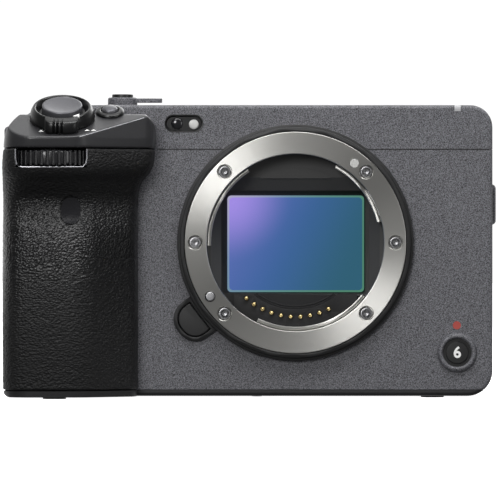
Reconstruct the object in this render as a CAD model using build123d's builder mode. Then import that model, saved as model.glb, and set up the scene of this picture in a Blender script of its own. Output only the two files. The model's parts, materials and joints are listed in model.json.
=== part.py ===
from build123d import *
from math import cos, radians, sin
import os

os.makedirs("parts", exist_ok=True)

# A compact cinema camera body without its lens. Sizes are in millimetres. The origin is the
# centre of the lens flange, +X is to the right as seen from the front, +Y runs along the
# optical axis into the camera and +Z is up.

# Casing
axis_to_right = 51.3
axis_to_left = 74.4
axis_to_top = 35.8
axis_to_base = 39.9
front_setback = 3.5
battery_depth = 38.7
battery_to_back = 6.8
body_depth = battery_depth + battery_to_back
wall = 1.6
seam_gap = 0.12
top_cover_height = 11.5
rear_cover_depth = 10.0
right_top_round = 5.8
right_bottom_round = 6.5
left_top_round = 12.0
left_bottom_round = 3.2
front_edge_round = 1.0
back_edge_round = 2.0
foot_height = 0.4
foot_radius = 3.0
foot_inset = 6.0
seat_fit = 0.05
slide_fit = 0.15
running_fit = 0.05

right = axis_to_right
left = -axis_to_left
top = axis_to_top
base = -axis_to_base
front = front_setback
back = front + body_depth
seam_z = top - top_cover_height
rear_split = back - rear_cover_depth
plate_top = base + wall
above_seam = seam_z + seam_gap / 2
below_seam = seam_z - seam_gap / 2
above_plate = plate_top + seam_gap
far = 90.0

# Lens mount
flange_r = 28.75
flange_thickness = 2.4
flange_round = 0.2
throat_r = 23.05
throat_lip = 1.7
barrel_inner_r = 23.7
barrel_outer_r = 24.6
barrel_back = 7.2
tab_inner_r = 21.9
tab_front = 2.7
tab_back = 4.7
tab_groove_depth = 1.0
tab_groove_inner_r = 22.75
tab_groove_outer_r = 23.6
tab_spans = [(123, 182), (14, 62), (244, 322)]
mount_screw_circle_r = 26.0
mount_screw_angles = [0, 45, 135, 180, 225, 315]
mount_screw_head_r = 1.7
mount_screw_head_depth = 1.2
mount_screw_recess = 0.15
mount_screw_r = 0.8
mount_screw_end = 7.0
cross_recess = 0.45
cross_length = 2.2
cross_depth = 0.7
collar_r = 30.7
collar_step_r = 29.95
collar_front = 0.75
collar_step_front = 1.9
collar_web_r = 29.1
collar_web_back = 5.1
release_angle = 217.5
release_frame_width = 11.2
release_frame_reach = 38.2
release_frame_front = 2.7
release_width = 8.6
release_rim = 1.2
release_inner = collar_r + 0.6
release_outer = release_frame_reach - release_rim
release_corner = 0.684 * (release_outer - release_inner)
release_front = 2.0
release_thickness = 1.9
release_round = 0.35
lock_pin_circle_r = 26.2
lock_pin_angle = 212.3
lock_pin_r = 1.2
lock_pin_proud = 0.8
lock_pin_length = 6.4
lock_pin_round = 0.3

# Chamber, shutter and sensor
contact_inner_r = 17.3
contact_circle_r = 19.3
contact_pin_r = 0.55
contact_pin_proud = 0.6
contact_pin_length = 2.6
contact_pin_round = 0.2
contact_count = 10
contact_first_angle = 228.7
contact_pitch = 7.53
contact_block_front = 4.75
contact_block_span = (212, 328)
contact_block_side = 16.0
contact_block_high = -13.2
frame_front = 5.2
frame_thickness = 2.0
frame_left = left + 33.4
frame_right = right - 3.3
frame_low = base + 4.0
frame_high = top - 2.8
post_x = 27.5
post_z = 23.0
post_r = 1.5
post_end = rear_split - 1.0
plate_margin = 2.8
plate_fit = 0.1
baffle_thickness = 3.0
chamber_width = 44.0
chamber_height = 34.0
sensor_width = 36.6
sensor_height = 25.2
sensor_margin = 1.0
sensor_bevel = 0.6
sensor_glass_thickness = 1.4
shutter_front = 10.5
shutter_depth = 3.0
shutter_skin = 0.7
shutter_window_width = 41.0
shutter_window_height = 28.4
shutter_leaf_width = 43.0
shutter_leaf_height = 14.2
shutter_leaf_thickness = 0.3
shutter_low_margin = 2.0
stabiliser_front = 14.0
stabiliser_thickness = 1.2
stabiliser_gap = 0.3
stabiliser_travel = 1.0
slide_thickness = 1.5
carriage_thickness = 3.7
carriage_border = 4.5
carriage_corner = 1.5
heat_sink_front = 22.2
heat_sink_plate = 1.4
heat_fin_height = 4.6
heat_fin_thickness = 1.0
heat_fin_count = 10
fan_x = 18.0
fan_z = -2.0
fan_r = 14.0
fan_front = 28.9
fan_depth = 8.2
fan_wall = 1.2
fan_gap = 0.6
fan_hub_r = 5.0
fan_pin_r = 1.0
fan_blade_count = 9
duct_height = 12.0
board_thickness = 1.6
chip_height = 1.0
# Each package on the board: its place from the board's left and lower edges, width, height
board_chips = [(48.5, 40.0, 16, 16), (70.5, 42.0, 12, 9), (22.5, 20.0, 10, 12), (84.5, 18.0, 9, 9)]
board_left = left + 15.9
board_right = right - 5.3
board_low = base + 5.0
board_high = top - 11.3

# Grip
rubber_thickness = 1.3
core_thickness = 1.6
cap_thickness = 1.8
deck_tilt = 26.0
deck_shelf_z = top - 1.2
# The grip's outline at each height: how far its side stands off the casing, how far its nose
# reaches out of the front face, where its ridge and its inner shoulder lie (in from the
# casing's side, reach) and how far in it meets the front face
grip_stations = [
    (base, 1.3, 19.0, (19.4, 18.5), (32.9, 7.0), 34.1),
    (base + 13.9, 1.3, 20.8, (19.9, 20.3), (32.9, 7.5), 34.1),
    (-10.0, 1.3, 21.0, (19.9, 20.5), (32.9, 7.5), 34.1),
    (3.0, 1.3, 19.8, (19.9, 19.3), (32.9, 7.2), 34.1),
    (10.5, 1.3, 17.4, (19.4, 17.0), (32.9, 6.5), 34.1),
    (top - 20.3, 1.3, 19.8, (19.4, 19.4), (33.9, 8.5), 35.0),
    (top - 15.8, 1.3, 22.8, (19.4, 22.4), (36.6, 10.8), 37.6),
    (top - 8.8, 0.7, 23.8, (18.9, 23.3), (37.6, 11.5), 38.6),
    (top + 3.0, -0.8, 23.8, (18.9, 23.3), (37.6, 11.5), 38.6),
]
grip_outer_round = 8.0
grip_ridge_round = 8.0
grip_inner_round = 4.5
cap_shoulder_round = 12.0
side_wrap_end = front + 23.5
thumb_rest_left = left + 0.8
thumb_rest_right = left + 13.4
thumb_rest_low = -5.0
thumb_rest_high = 20.0
thumb_rest_reach = 9.0
thumb_rest_round = 1.5
grip_window_x = left + 16.5
grip_window_z = 8.2
grip_window_width = 5.2
grip_window_height = 7.0
dial_floor_low = seam_z - 6.8
dial_floor_high = seam_z - 5.0

# Controls on the grip
lever_x = left + 14.2
lever_y = front - 13.6
lever_z = top - 3.8
lever_base_r = 8.5
lever_top_r = 7.5
lever_bore_r = 6.0
lever_height = 3.4
lever_lift = 0.15
lever_tab_width = 6.6
lever_tab_reach = 10.4
lever_rib_count = 5
sleeve_thickness = 0.6
sleeve_height = 1.7
shutter_button_r = 5.2
shutter_button_low = 1.0
shutter_button_high = 4.5
shutter_button_dish = 0.35
shutter_button_round = 0.4
shutter_stem_r = 2.0
shutter_stem_length = 4.0
grip_button_x = left + 26.4
grip_button_y = front - 10.4
grip_button_r = 2.8
grip_button_collar_r = 3.7
grip_button_collar_height = 0.5
grip_button_proud = 1.2
grip_button_round = 0.6
front_dial_x = left + 11.4
front_dial_y = front - 13.7
front_dial_z = seam_z - 2.5
front_dial_r = 10.5
front_dial_height = 4.2
front_dial_slot = (left + 2.4, left + 20.7)
front_dial_room_back = front - 19.1
dial_pin_r = 1.5
dial_clearance = 0.3
knurl_depth = 0.35
knurl_count = 44
rear_dial_x = left + 12.4
rear_dial_y = back - 7.0
rear_dial_z = top - 7.8
rear_dial_r = 8.5
rear_dial_height = 4.5

# Battery and its door
battery_width = 22.7
battery_height = 51.7
battery_left = left + 3.0
battery_front = front - 9.5
battery_low = base + 2.1
battery_fit = 0.25
battery_corner = 1.0
chamber_wall = 1.0
door_margin = 1.4
door_corner = 2.5
door_thickness = 1.3
door_fit = 0.15
hinge_knuckle_r = 0.7
hinge_pin_r = 0.4
hinge_lip = 1.2
battery_hinge_inset = 2.7
hinge_gap = 0.4
battery_hinge_z = base + 0.8
latch_width = 3.6
latch_length = 8.0
latch_thickness = 0.9
latch_pocket = 0.8
latch_travel = 2.5

# Side doors: hinge line, free end, low and high edge
card_door = (back - 18.8, back - 2.8, base + 9.9, seam_z - 9.3)
audio_cover = (front + 18.5, front + 5.5, 5.0, seam_z - 2.3)
data_cover = (front + 18.5, front + 5.5, base + 8.9, 3.0)
side_hinge_depth = 0.85

# Sockets, card reader, vents and lugs
socket_back_x = right - 8.3
socket_reach = 5.6
socket_y = front + 11.0
audio_jack_r = 3.2
audio_jack_bore = 1.75
audio_jack_heights = [18.5, 9.5]
video_socket_z = -7.0
video_socket_size = (15.0, 5.6)
socket_shell = 0.5
socket_tongue = 2.4
data_socket_heights = [-19.0, -26.5]
data_socket_size = (9.2, 3.4)
reader_width = 11.5
reader_front = back - 13.0
reader_back = back - 3.6
card_slot = (3.2, 5.4)
grille_front = rear_split - 12.5
grille_back = rear_split - 1.4
grille_low = fan_z - 15.5
grille_high = fan_z - 0.5
grille_slot_count = 6
grille_slot_width = 1.2
right_lug_reach = 1.65
right_lug_low = 4.7
right_lug_high = 15.4
left_lug_reach = 2.2
left_lug_low = seam_z - 6.1
left_lug_high = seam_z + 6.4
right_lug_span = (front + 22.0, front + 30.0)
left_lug_span = (front + 25.5, front + 33.5)
lug_bar = 0.9
lug_end = 2.0
lug_pocket = 0.9
lug_round = 1.2

# Controls and lamps on the body
button_flange = 0.6
button_flange_thickness = 0.8
button_flange_gap = 0.3
button_fit = 0.15
button_round = 0.3
record_x = right - 9.2
record_z = base + 11.3
record_r = 3.0
record_proud = 0.35
record_gap = 0.7
record_bezel_r = 5.05
record_bezel_height = 0.3
pill_left = -33.9
pill_right = -24.0
pill_z = top - 4.8
pill_height = 4.4
lens_recess = 0.8
tally_x = right - 9.1
tally_size = 1.6
rear_lamp_x = -33.0
rear_lamp_z = 12.0
rear_lamp_r = 0.9
power_x = left + 29.2
power_y = front + 15.5
power_hub_r = 3.85
power_hub_height = 2.2
power_knob_r = 2.7
power_knob_height = 3.0
power_arm_reach = 10.4
power_arm_width = 3.2
power_arm_low = 0.9
power_stem_r = 1.6
power_stem_length = 5.0
power_chamfer = 0.3
top_button_y = back - 12.0
iso_button_x = left + 30.4
iris_button_x = left + 40.4
top_button_r = 2.8
top_button_proud = 0.1
rear_button_r = 2.6
rear_button_proud = 0.8
menu_place = (left + 39.4, top - 6.8)
playback_place = (left + 15.4, base + 12.9)
delete_place = (left + 33.4, base + 12.9)
joystick_x = left + 24.4
joystick_z = 15.0
joystick_pivot = back - 3.8
joystick_hole_r = 2.4
joystick_socket_r = 4.2
joystick_socket_wall = 1.4
gimbal_r = 3.9
gimbal_thickness = 1.4
joystick_ball_r = 1.6
joystick_stem_r = 1.1
joystick_knob_r = 3.3
joystick_knob_front = back + 1.1
joystick_knob_back = back + 3.4
joystick_round = 0.6
wheel_x = left + 24.4
wheel_z = -8.0
wheel_r = 9.4
wheel_bore_r = 5.4
wheel_thickness = 2.5
wheel_round = 0.5
wheel_recess = 0.9
wheel_sleeve_thickness = 0.6
wheel_sleeve_height = 1.6
centre_button_r = 4.5
centre_button_proud = 1.3
centre_button_round = 0.4

# Monitor
monitor_width = 69.2
monitor_low = base + 8.9
monitor_high = seam_z - 2.3
monitor_gap = 0.3
monitor_thickness = 8.1
monitor_round = 3.0
monitor_chamfer = 0.6
monitor_hinge_x = right - 4.3
monitor_hinge_y = back + 3.4
monitor_hinge_reach = 4.8
monitor_knuckle_r = 3.1
monitor_knuckle_height = 1.9
monitor_pin_r = 1.2
monitor_pin_length = 4.0
screen_margin = 3.2
screen_thickness = 0.8
screen_recess = 0.2

# Top plate fittings
bush_bore_r = 3.175
bush_r = 5.0
bush_length = 6.0
bush_flange_r = 6.4
bush_flange_thickness = 1.2
bush_places = [(28.0, front + 10.5), (-22.0, front + 10.5), (28.0, back - 9.0)]
tripod_y = front + 18.5
tripod_bush_r = 6.0
shoe_slot_width = 18.7
shoe_opening_width = 12.6
shoe_slot_height = 2.0
shoe_lip_thickness = 1.5
shoe_side = 1.6
shoe_front = back - 30.0
shoe_back = back - 7.0
shoe_base_thickness = 1.2
microphone_hole_r = 0.45
microphone_pitch = 1.6
microphone_y = front + 5.5
microphone_columns = [-8.0, 8.0]


def facing_front(y):
    """The plane at depth y that looks out of the camera's front."""
    return Plane.XZ.offset(-y)


def facing_back(y):
    """The plane at depth y that looks out of the camera's back; its x runs along -X."""
    return Plane(origin=(0, y, 0), x_dir=(-1, 0, 0), z_dir=(0, 1, 0))


def facing_right(x):
    """The plane at x that looks out of the camera's right side; its x runs along +Y."""
    return Plane.YZ.offset(x)


def facing_down(z):
    """The plane at height z that looks out of the camera's base; its y runs along -Y."""
    return Plane(origin=(0, 0, z), x_dir=(1, 0, 0), z_dir=(0, 0, -1))


def block(low, high, mode=Mode.ADD):
    """A box between two opposite corners."""
    size = [b - a for a, b in zip(low, high)]
    with Locations(low):
        return Box(*size, align=(Align.MIN, Align.MIN, Align.MIN), mode=mode)


def disc(plane, place, radius, height, mode=Mode.ADD):
    """A round prism on a plane; a negative height runs behind the plane."""
    with BuildSketch(plane) as profile:
        with Locations(place):
            Circle(radius)
    extrude(profile.sketch, amount=height, mode=mode)


def tube(plane, place, outer, inner, height):
    """A round prism with a bore."""
    with BuildSketch(plane) as profile:
        with Locations(place):
            Circle(outer)
            Circle(inner, mode=Mode.SUBTRACT)
    extrude(profile.sketch, amount=height)


def on_circle(radius, angle):
    """A point on a circle round the optical axis, as seen from the front."""
    return (radius * cos(radians(angle)), radius * sin(radians(angle)))


def save(builder, name):
    """Names a finished piece and writes it."""
    builder.part.label = name
    export_step(builder.part, f"parts/{name}.step")


def round_button(plane, place, radius, proud):
    """A button in a cover: a cap through the cover and a flange that holds it in."""
    reach = wall + button_flange_gap
    disc(plane.offset(-reach), place, radius, reach + proud)
    flange_plane = plane.offset(-reach - button_flange_thickness)
    disc(flange_plane, place, radius + button_flange, button_flange_thickness)
    fillet(faces().sort_by(Axis(plane.origin, plane.z_dir))[-1].edges(), button_round)


def button_hole(plane, place, radius):
    """The hole that a round button runs in."""
    disc(plane.offset(1), place, radius + button_fit, -wall - 2, Mode.SUBTRACT)


# Casing: a hollow block that the covers are cut from
def case_block(inset, front_y, back_y):
    """A solid with the casing's outline, drawn in by inset on every side."""
    with BuildPart() as blank:
        with BuildSketch(facing_front(back_y)):
            with BuildLine():
                FilletPolyline(
                    (left + inset, base + inset),
                    (right - inset, base + inset),
                    (right - inset, top - inset),
                    (left + inset, top - inset),
                    radius=[
                        left_bottom_round - inset,
                        right_bottom_round - inset,
                        right_top_round - inset,
                        left_top_round - inset,
                    ],
                    close=True,
                )
            make_face()
        extrude(amount=back_y - front_y)
    return blank.part


with BuildPart() as outer_case:
    add(case_block(0, front, back))
    fillet(outer_case.faces().sort_by(Axis.Y)[0].edges(), front_edge_round)
    fillet(outer_case.faces().sort_by(Axis.Y)[-1].edges(), back_edge_round)

with BuildPart() as casing:
    add(outer_case.part)
    add(case_block(wall, front + wall, back - wall), mode=Mode.SUBTRACT)


# Grip: a closed outline at each station, drawn in by inset, and a loft through them
def grip_outline(station, inset):
    """The grip's outline at one height, running on behind the front face."""
    height, stand_off, nose, ridge, shoulder, root_in = station
    side = left - stand_off
    root = left + root_in
    behind = front + 6.0
    with BuildSketch(Plane.XY.offset(height)) as outline:
        with BuildLine():
            FilletPolyline(
                (side + inset, behind),
                (side + inset, front - nose + inset),
                (left + ridge[0] - 0.3 * inset, front - ridge[1] + inset),
                (left + shoulder[0] - inset, front - shoulder[1] + 0.5 * inset),
                (root - inset, behind),
                radius=[
                    0,
                    grip_outer_round - inset,
                    grip_ridge_round - inset,
                    grip_inner_round - inset,
                    0,
                ],
                close=True,
            )
        make_face()
    return outline.sketch


def grip_solid(inset, low_z, high_z):
    """The grip's shape in front of the front face, between two heights."""
    with BuildPart() as shape:
        loft([grip_outline(station, inset) for station in grip_stations], ruled=True)
        block((-far, -far, low_z), (0, front - seat_fit, high_z), mode=Mode.INTERSECT)
    return shape.part


# The grip's deck slopes forward under the zoom lever
deck = Plane(
    origin=(lever_x, lever_y, lever_z),
    x_dir=(1, 0, 0),
    z_dir=(0, -sin(radians(deck_tilt)), cos(radians(deck_tilt))),
)
grip_button_place = (grip_button_x - lever_x, (grip_button_y - lever_y) / cos(radians(deck_tilt)))


def cap_solid(inset):
    """The grip's cap under its deck, drawn in by inset."""
    cap_left = left - grip_stations[0][1] + inset
    with BuildPart() as shape:
        add(grip_solid(inset, above_seam, deck_shelf_z - inset))
        with BuildSketch(facing_front(front)) as outline:
            with BuildLine():
                FilletPolyline(
                    (cap_left, seam_z - far),
                    (cap_left, top - inset),
                    (0, top - inset),
                    radius=cap_shoulder_round - inset,
                )
                Line((0, top - inset), (0, seam_z - far))
                Line((0, seam_z - far), (cap_left, seam_z - far))
            make_face()
        extrude(amount=far, mode=Mode.INTERSECT)
        split(bisect_by=deck.offset(-inset), keep=Keep.BOTTOM)
    return shape.part


battery_right = battery_left + battery_width
battery_back = battery_front + battery_depth
battery_high = battery_low + battery_height
room_low = (battery_left - battery_fit, battery_front - battery_fit, base - 1)
room_high = (battery_right + battery_fit, battery_back + battery_fit, battery_high + battery_fit)
chamber_low = tuple(value - chamber_wall for value in room_low)
chamber_high = tuple(value + chamber_wall for value in room_high)


# Side doors: a plate with a knuckle along one upright edge, on a pin in the wall
def hinge_x_of(face_x):
    """Where a side door's pin stands inside its wall."""
    return face_x - side_hinge_depth if face_x > 0 else face_x + side_hinge_depth


def side_door(face_x, sizes):
    """A door flush with the casing's side."""
    hinge_y, free_y, low_z, high_z = sizes
    side = 1 if face_x > 0 else -1
    way = 1 if free_y > hinge_y else -1
    hinge_x = hinge_x_of(face_x)
    xs = sorted([face_x, face_x - side * door_thickness])
    ys = sorted([hinge_y + way * hinge_lip, free_y])
    block((xs[0], ys[0], low_z), (xs[1], ys[1], high_z))
    web = sorted([hinge_y, hinge_y + way * (hinge_lip + 0.2)])
    block((hinge_x - 0.35, web[0], low_z), (hinge_x + 0.35, web[1], high_z))
    disc(Plane.XY.offset(low_z), (hinge_x, hinge_y), hinge_knuckle_r, high_z - low_z)
    bore_r = hinge_pin_r + running_fit
    disc(Plane.XY.offset(low_z - 1), (hinge_x, hinge_y), bore_r, high_z - low_z + 2, Mode.SUBTRACT)


def side_opening(face_x, sizes):
    """The opening in the casing's wall for a side door."""
    hinge_y, free_y, low_z, high_z = sizes
    way = 1 if free_y > hinge_y else -1
    ys = sorted([hinge_y - way * (hinge_knuckle_r + 2 * door_fit), free_y + way * door_fit])
    block(
        (face_x - 2 * wall, ys[0], low_z - door_fit),
        (face_x + 2 * wall, ys[1], high_z + door_fit),
        mode=Mode.SUBTRACT,
    )


def side_pin(face_x, sizes):
    """The pin across a side door's opening."""
    hinge_y, free_y, low_z, high_z = sizes
    place = (hinge_x_of(face_x), hinge_y)
    length = high_z - low_z + 4 * door_fit
    disc(Plane.XY.offset(low_z - 2 * door_fit), place, hinge_pin_r, length)


# Lens mount
def spun(*corners):
    """Spins a profile of (radius, depth) corners about the optical axis."""
    with BuildSketch(Plane.XY) as profile:
        with BuildLine():
            Polyline(*corners, close=True)
        make_face()
    revolve(profile.sketch, axis=Axis.Y)


def ring_sector(inner, outer, start, end):
    """A piece of a ring between two angles, as seen from the front."""
    with BuildLine() as outline:
        CenterArc((0, 0), outer, start, end - start)
        Line(on_circle(outer, end), on_circle(inner, end))
        CenterArc((0, 0), inner, start, end - start)
        Line(on_circle(inner, start), on_circle(outer, start))
    make_face(outline.edges())


with BuildPart() as mount_ring:
    spun(
        (throat_r, 0),
        (flange_r, 0),
        (flange_r, flange_thickness),
        (barrel_outer_r, flange_thickness),
        (barrel_outer_r, barrel_back),
        (barrel_inner_r, barrel_back),
        (barrel_inner_r, throat_lip),
        (throat_r, throat_lip),
    )
    fillet(mount_ring.edges().filter_by(GeomType.CIRCLE).group_by(Axis.Y)[0], flange_round)
    for start, end in tab_spans:
        with BuildSketch(facing_front(tab_back)):
            ring_sector(tab_inner_r, barrel_inner_r + seat_fit, start, end)
        extrude(amount=tab_back - tab_front)
    with BuildSketch(facing_front(tab_front)):
        Circle(tab_groove_outer_r)
        Circle(tab_groove_inner_r, mode=Mode.SUBTRACT)
    extrude(amount=-tab_groove_depth, mode=Mode.SUBTRACT)
    for angle in mount_screw_angles:
        place = on_circle(mount_screw_circle_r, angle)
        head_room = mount_screw_recess + mount_screw_head_depth
        disc(facing_front(0), place, mount_screw_head_r + seat_fit, -head_room, Mode.SUBTRACT)
        disc(facing_front(0), place, mount_screw_r + seat_fit, -flange_thickness, Mode.SUBTRACT)
    pin_hole_r = lock_pin_r + slide_fit
    pin_place = on_circle(lock_pin_circle_r, lock_pin_angle)
    disc(facing_front(0), pin_place, pin_hole_r, -flange_thickness, Mode.SUBTRACT)
save(mount_ring, "mount_ring")

with BuildPart() as mount_screws:
    for angle in mount_screw_angles:
        place = on_circle(mount_screw_circle_r, angle)
        head = facing_front(mount_screw_recess)
        disc(head, place, mount_screw_head_r, -mount_screw_head_depth)
        disc(head, place, mount_screw_r, mount_screw_recess - mount_screw_end)
        with BuildSketch(head):
            with Locations(place):
                Rectangle(cross_length, cross_recess)
                Rectangle(cross_recess, cross_length)
        extrude(amount=-cross_depth, mode=Mode.SUBTRACT)
save(mount_screws, "mount_screws")


# The release button lies on a line that slopes away from the mount
def release_outline(inner, outer, width, corner):
    """A tongue along the release direction, rounded at its outer end."""
    with BuildSketch(Plane.XY, mode=Mode.PRIVATE) as tongue:
        with BuildLine():
            FilletPolyline(
                (inner, -width / 2),
                (outer, -width / 2),
                (outer, width / 2),
                (inner, width / 2),
                radius=[0, corner, corner, 0],
                close=True,
            )
        make_face()
    return tongue.sketch.rotate(Axis.Z, release_angle)


release_room = release_outline(
    release_inner - button_fit,
    release_outer + button_fit,
    release_width + 2 * button_fit,
    release_corner + button_fit,
)

with BuildPart() as mount_collar:
    spun(
        (barrel_outer_r + seat_fit, flange_thickness + seat_fit),
        (flange_r + 2 * seat_fit, flange_thickness + seat_fit),
        (flange_r + 2 * seat_fit, collar_front),
        (collar_step_r, collar_front),
        (collar_step_r, collar_step_front),
        (collar_r, collar_step_front),
        (collar_r, front - seat_fit),
        (collar_web_r, front - seat_fit),
        (collar_web_r, collar_web_back),
        (barrel_outer_r + seat_fit, collar_web_back),
    )
    with BuildSketch(facing_front(front - seat_fit)):
        add(
            release_outline(
                collar_web_r,
                release_frame_reach,
                release_frame_width,
                release_corner + release_rim,
            )
        )
    extrude(amount=front - seat_fit - release_frame_front)
    with BuildSketch(facing_front(front)):
        add(release_room)
    extrude(amount=front - collar_step_front + 1, mode=Mode.SUBTRACT)
    for angle in mount_screw_angles:
        place = on_circle(mount_screw_circle_r, angle)
        disc(facing_front(0), place, mount_screw_r + seat_fit, -collar_web_back, Mode.SUBTRACT)
    disc(facing_front(0), pin_place, pin_hole_r, -collar_web_back, Mode.SUBTRACT)
save(mount_collar, "mount_collar")

with BuildPart() as lens_release_button:
    with BuildSketch(facing_front(release_front)):
        release_cap = (release_inner, release_outer, release_width, release_corner)
        add(release_outline(*release_cap))
    extrude(amount=-release_thickness)
    fillet(lens_release_button.faces().sort_by(Axis.Y)[0].edges(), release_round)
save(lens_release_button, "lens_release_button")

with BuildPart() as lock_pin:
    disc(facing_front(-lock_pin_proud), pin_place, lock_pin_r, -lock_pin_length)
    fillet(lock_pin.faces().sort_by(Axis.Y)[0].edges(), lock_pin_round)
save(lock_pin, "lock_pin")

# Contacts
contact_places = [
    on_circle(contact_circle_r, contact_first_angle + contact_pitch * index)
    for index in range(contact_count)
]

with BuildPart() as contact_block:
    with BuildSketch(facing_front(contact_block_front)):
        ring_sector(contact_inner_r, barrel_inner_r - seat_fit, *contact_block_span)
        with Locations((0, contact_block_high - far / 2)):
            Rectangle(2 * contact_block_side, far, mode=Mode.INTERSECT)
    extrude(amount=contact_block_front - barrel_back)
    for place in contact_places:
        disc(facing_front(0), place, contact_pin_r + seat_fit, -barrel_back - 1, Mode.SUBTRACT)
save(contact_block, "contact_block")

with BuildPart() as contact_pins:
    for place in contact_places:
        pin_tip = facing_front(contact_block_front - contact_pin_proud)
        disc(pin_tip, place, contact_pin_r, -contact_pin_length)
    fillet(contact_pins.faces().group_by(Axis.Y)[0].edges(), contact_pin_round)
save(contact_pins, "contact_pins")

# Inner frame: a plate behind the front cover, with four posts that carry what lies behind
post_places = [(x, z) for x in (-post_x, post_x) for z in (-post_z, post_z)]
plate_half_width = post_x + plate_margin
plate_half_height = post_z + plate_margin


def carried_plate(front_y, thickness, low_z=-plate_half_height):
    """A plate that is threaded on the four posts."""
    block(
        (-plate_half_width, front_y, low_z),
        (plate_half_width, front_y + thickness, plate_half_height),
    )
    for place in post_places:
        disc(facing_front(0), place, post_r + seat_fit, -far, Mode.SUBTRACT)


def window(width, height, mode=Mode.SUBTRACT):
    """An opening on the optical axis through everything in the part."""
    with BuildSketch(facing_front(0)) as profile:
        RectangleRounded(width, height, 0.8)
    extrude(profile.sketch, amount=-far, mode=mode)


frame_back = frame_front + frame_thickness
with BuildPart() as inner_frame:
    block((frame_left, frame_front, frame_low), (frame_right, frame_back, frame_high))
    disc(facing_front(0), (0, 0), barrel_outer_r + seat_fit, -far, Mode.SUBTRACT)
    for angle in mount_screw_angles:
        place = on_circle(mount_screw_circle_r, angle)
        disc(facing_front(0), place, mount_screw_r + seat_fit, -far, Mode.SUBTRACT)
    disc(facing_front(0), pin_place, pin_hole_r, -far, Mode.SUBTRACT)
    for place in post_places:
        disc(facing_front(frame_front), place, post_r, frame_front - post_end)
save(inner_frame, "inner_frame")

baffle_front = frame_back + plate_fit
baffle_back = baffle_front + baffle_thickness
with BuildPart() as funnel:
    with BuildSketch(facing_front(baffle_front)):
        RectangleRounded(chamber_width, chamber_height, 3.0)
    with BuildSketch(facing_front(baffle_back)):
        RectangleRounded(sensor_width + 2 * sensor_margin, sensor_height + 2 * sensor_margin, 0.8)
    loft()

with BuildPart() as light_baffle:
    carried_plate(baffle_front, baffle_thickness)
    add(funnel.part, mode=Mode.SUBTRACT)
save(light_baffle, "light_baffle")

# Shutter: two blinds stacked below the window, which rise one behind the other
shutter_back = shutter_front + shutter_depth
leaf_rest_high = shutter_window_height / -2 - seat_fit
leaf_gap = (shutter_depth - 2 * shutter_skin - 2 * shutter_leaf_thickness) / 3
upper_leaf_front = shutter_front + shutter_skin + leaf_gap
lower_leaf_front = upper_leaf_front + shutter_leaf_thickness + leaf_gap

with BuildPart() as shutter_frame:
    shutter_low = leaf_rest_high - shutter_leaf_height - shutter_low_margin
    carried_plate(shutter_front, shutter_depth, shutter_low)
    window(shutter_window_width, shutter_window_height)
    pocket_half_width = shutter_leaf_width / 2 + plate_margin / 4
    block(
        (-pocket_half_width, shutter_front + shutter_skin, leaf_rest_high - shutter_leaf_height - 1),
        (pocket_half_width, shutter_back - shutter_skin, shutter_window_height / 2 + 1),
        mode=Mode.SUBTRACT,
    )
save(shutter_frame, "shutter_frame")


def shutter_leaf(front_y):
    """One blind of the shutter, at rest below the window."""
    block(
        (-shutter_leaf_width / 2, front_y, leaf_rest_high - shutter_leaf_height),
        (shutter_leaf_width / 2, front_y + shutter_leaf_thickness, leaf_rest_high),
    )


with BuildPart() as shutter_leaf_upper:
    shutter_leaf(upper_leaf_front)
save(shutter_leaf_upper, "shutter_leaf_upper")

with BuildPart() as shutter_leaf_lower:
    shutter_leaf(lower_leaf_front)
save(shutter_leaf_lower, "shutter_leaf_lower")

# Stabiliser: a fixed base, a plate that moves sideways and a carriage that moves up and down
slide_front = stabiliser_front + stabiliser_thickness + stabiliser_gap
carriage_front = slide_front + slide_thickness + stabiliser_gap
glass_window = 2 * (stabiliser_travel + sensor_margin)
slide_half_width = post_x - post_r - stabiliser_travel - stabiliser_gap
slide_half_height = post_z - post_r - stabiliser_travel - stabiliser_gap

with BuildPart() as stabiliser_base:
    carried_plate(stabiliser_front, stabiliser_thickness)
    window(sensor_width + 2 * glass_window, sensor_height + 2 * glass_window)
save(stabiliser_base, "stabiliser_base")

with BuildPart() as stabiliser_slide:
    block(
        (-slide_half_width, slide_front, -slide_half_height),
        (slide_half_width, slide_front + slide_thickness, slide_half_height),
    )
    window(sensor_width + glass_window, sensor_height + glass_window)
save(stabiliser_slide, "stabiliser_slide")

glass_back = carriage_front - seat_fit
with BuildPart() as sensor_carriage:
    block(
        (-sensor_width / 2 - carriage_border, carriage_front, -slide_half_height + carriage_border / 2),
        (
            sensor_width / 2 + carriage_border,
            carriage_front + carriage_thickness,
            slide_half_height - carriage_border / 2,
        ),
    )
    fillet(sensor_carriage.edges().filter_by(Axis.Y), carriage_corner)
save(sensor_carriage, "sensor_carriage")

with BuildPart() as sensor_glass:
    with BuildSketch(facing_front(glass_back)):
        RectangleRounded(sensor_width, sensor_height, 1.2 * sensor_bevel)
    extrude(amount=sensor_glass_thickness)
    chamfer(sensor_glass.faces().sort_by(Axis.Y)[0].edges(), sensor_bevel)
save(sensor_glass, "sensor_glass")

# Cooling: a finned plate behind the sensor and a blower that draws the air past it
with BuildPart() as heat_sink:
    carried_plate(heat_sink_front, heat_sink_plate)
    fin_pitch = (2 * plate_half_width - heat_fin_thickness) / (heat_fin_count - 1)
    fin_back = heat_sink_front + heat_sink_plate + heat_fin_height
    fin_half_height = post_z - post_r - sensor_margin
    for index in range(heat_fin_count):
        fin_x = index * fin_pitch - plate_half_width
        block(
            (fin_x, heat_sink_front, -fin_half_height),
            (fin_x + heat_fin_thickness, fin_back, fin_half_height),
        )
save(heat_sink, "heat_sink")

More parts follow.
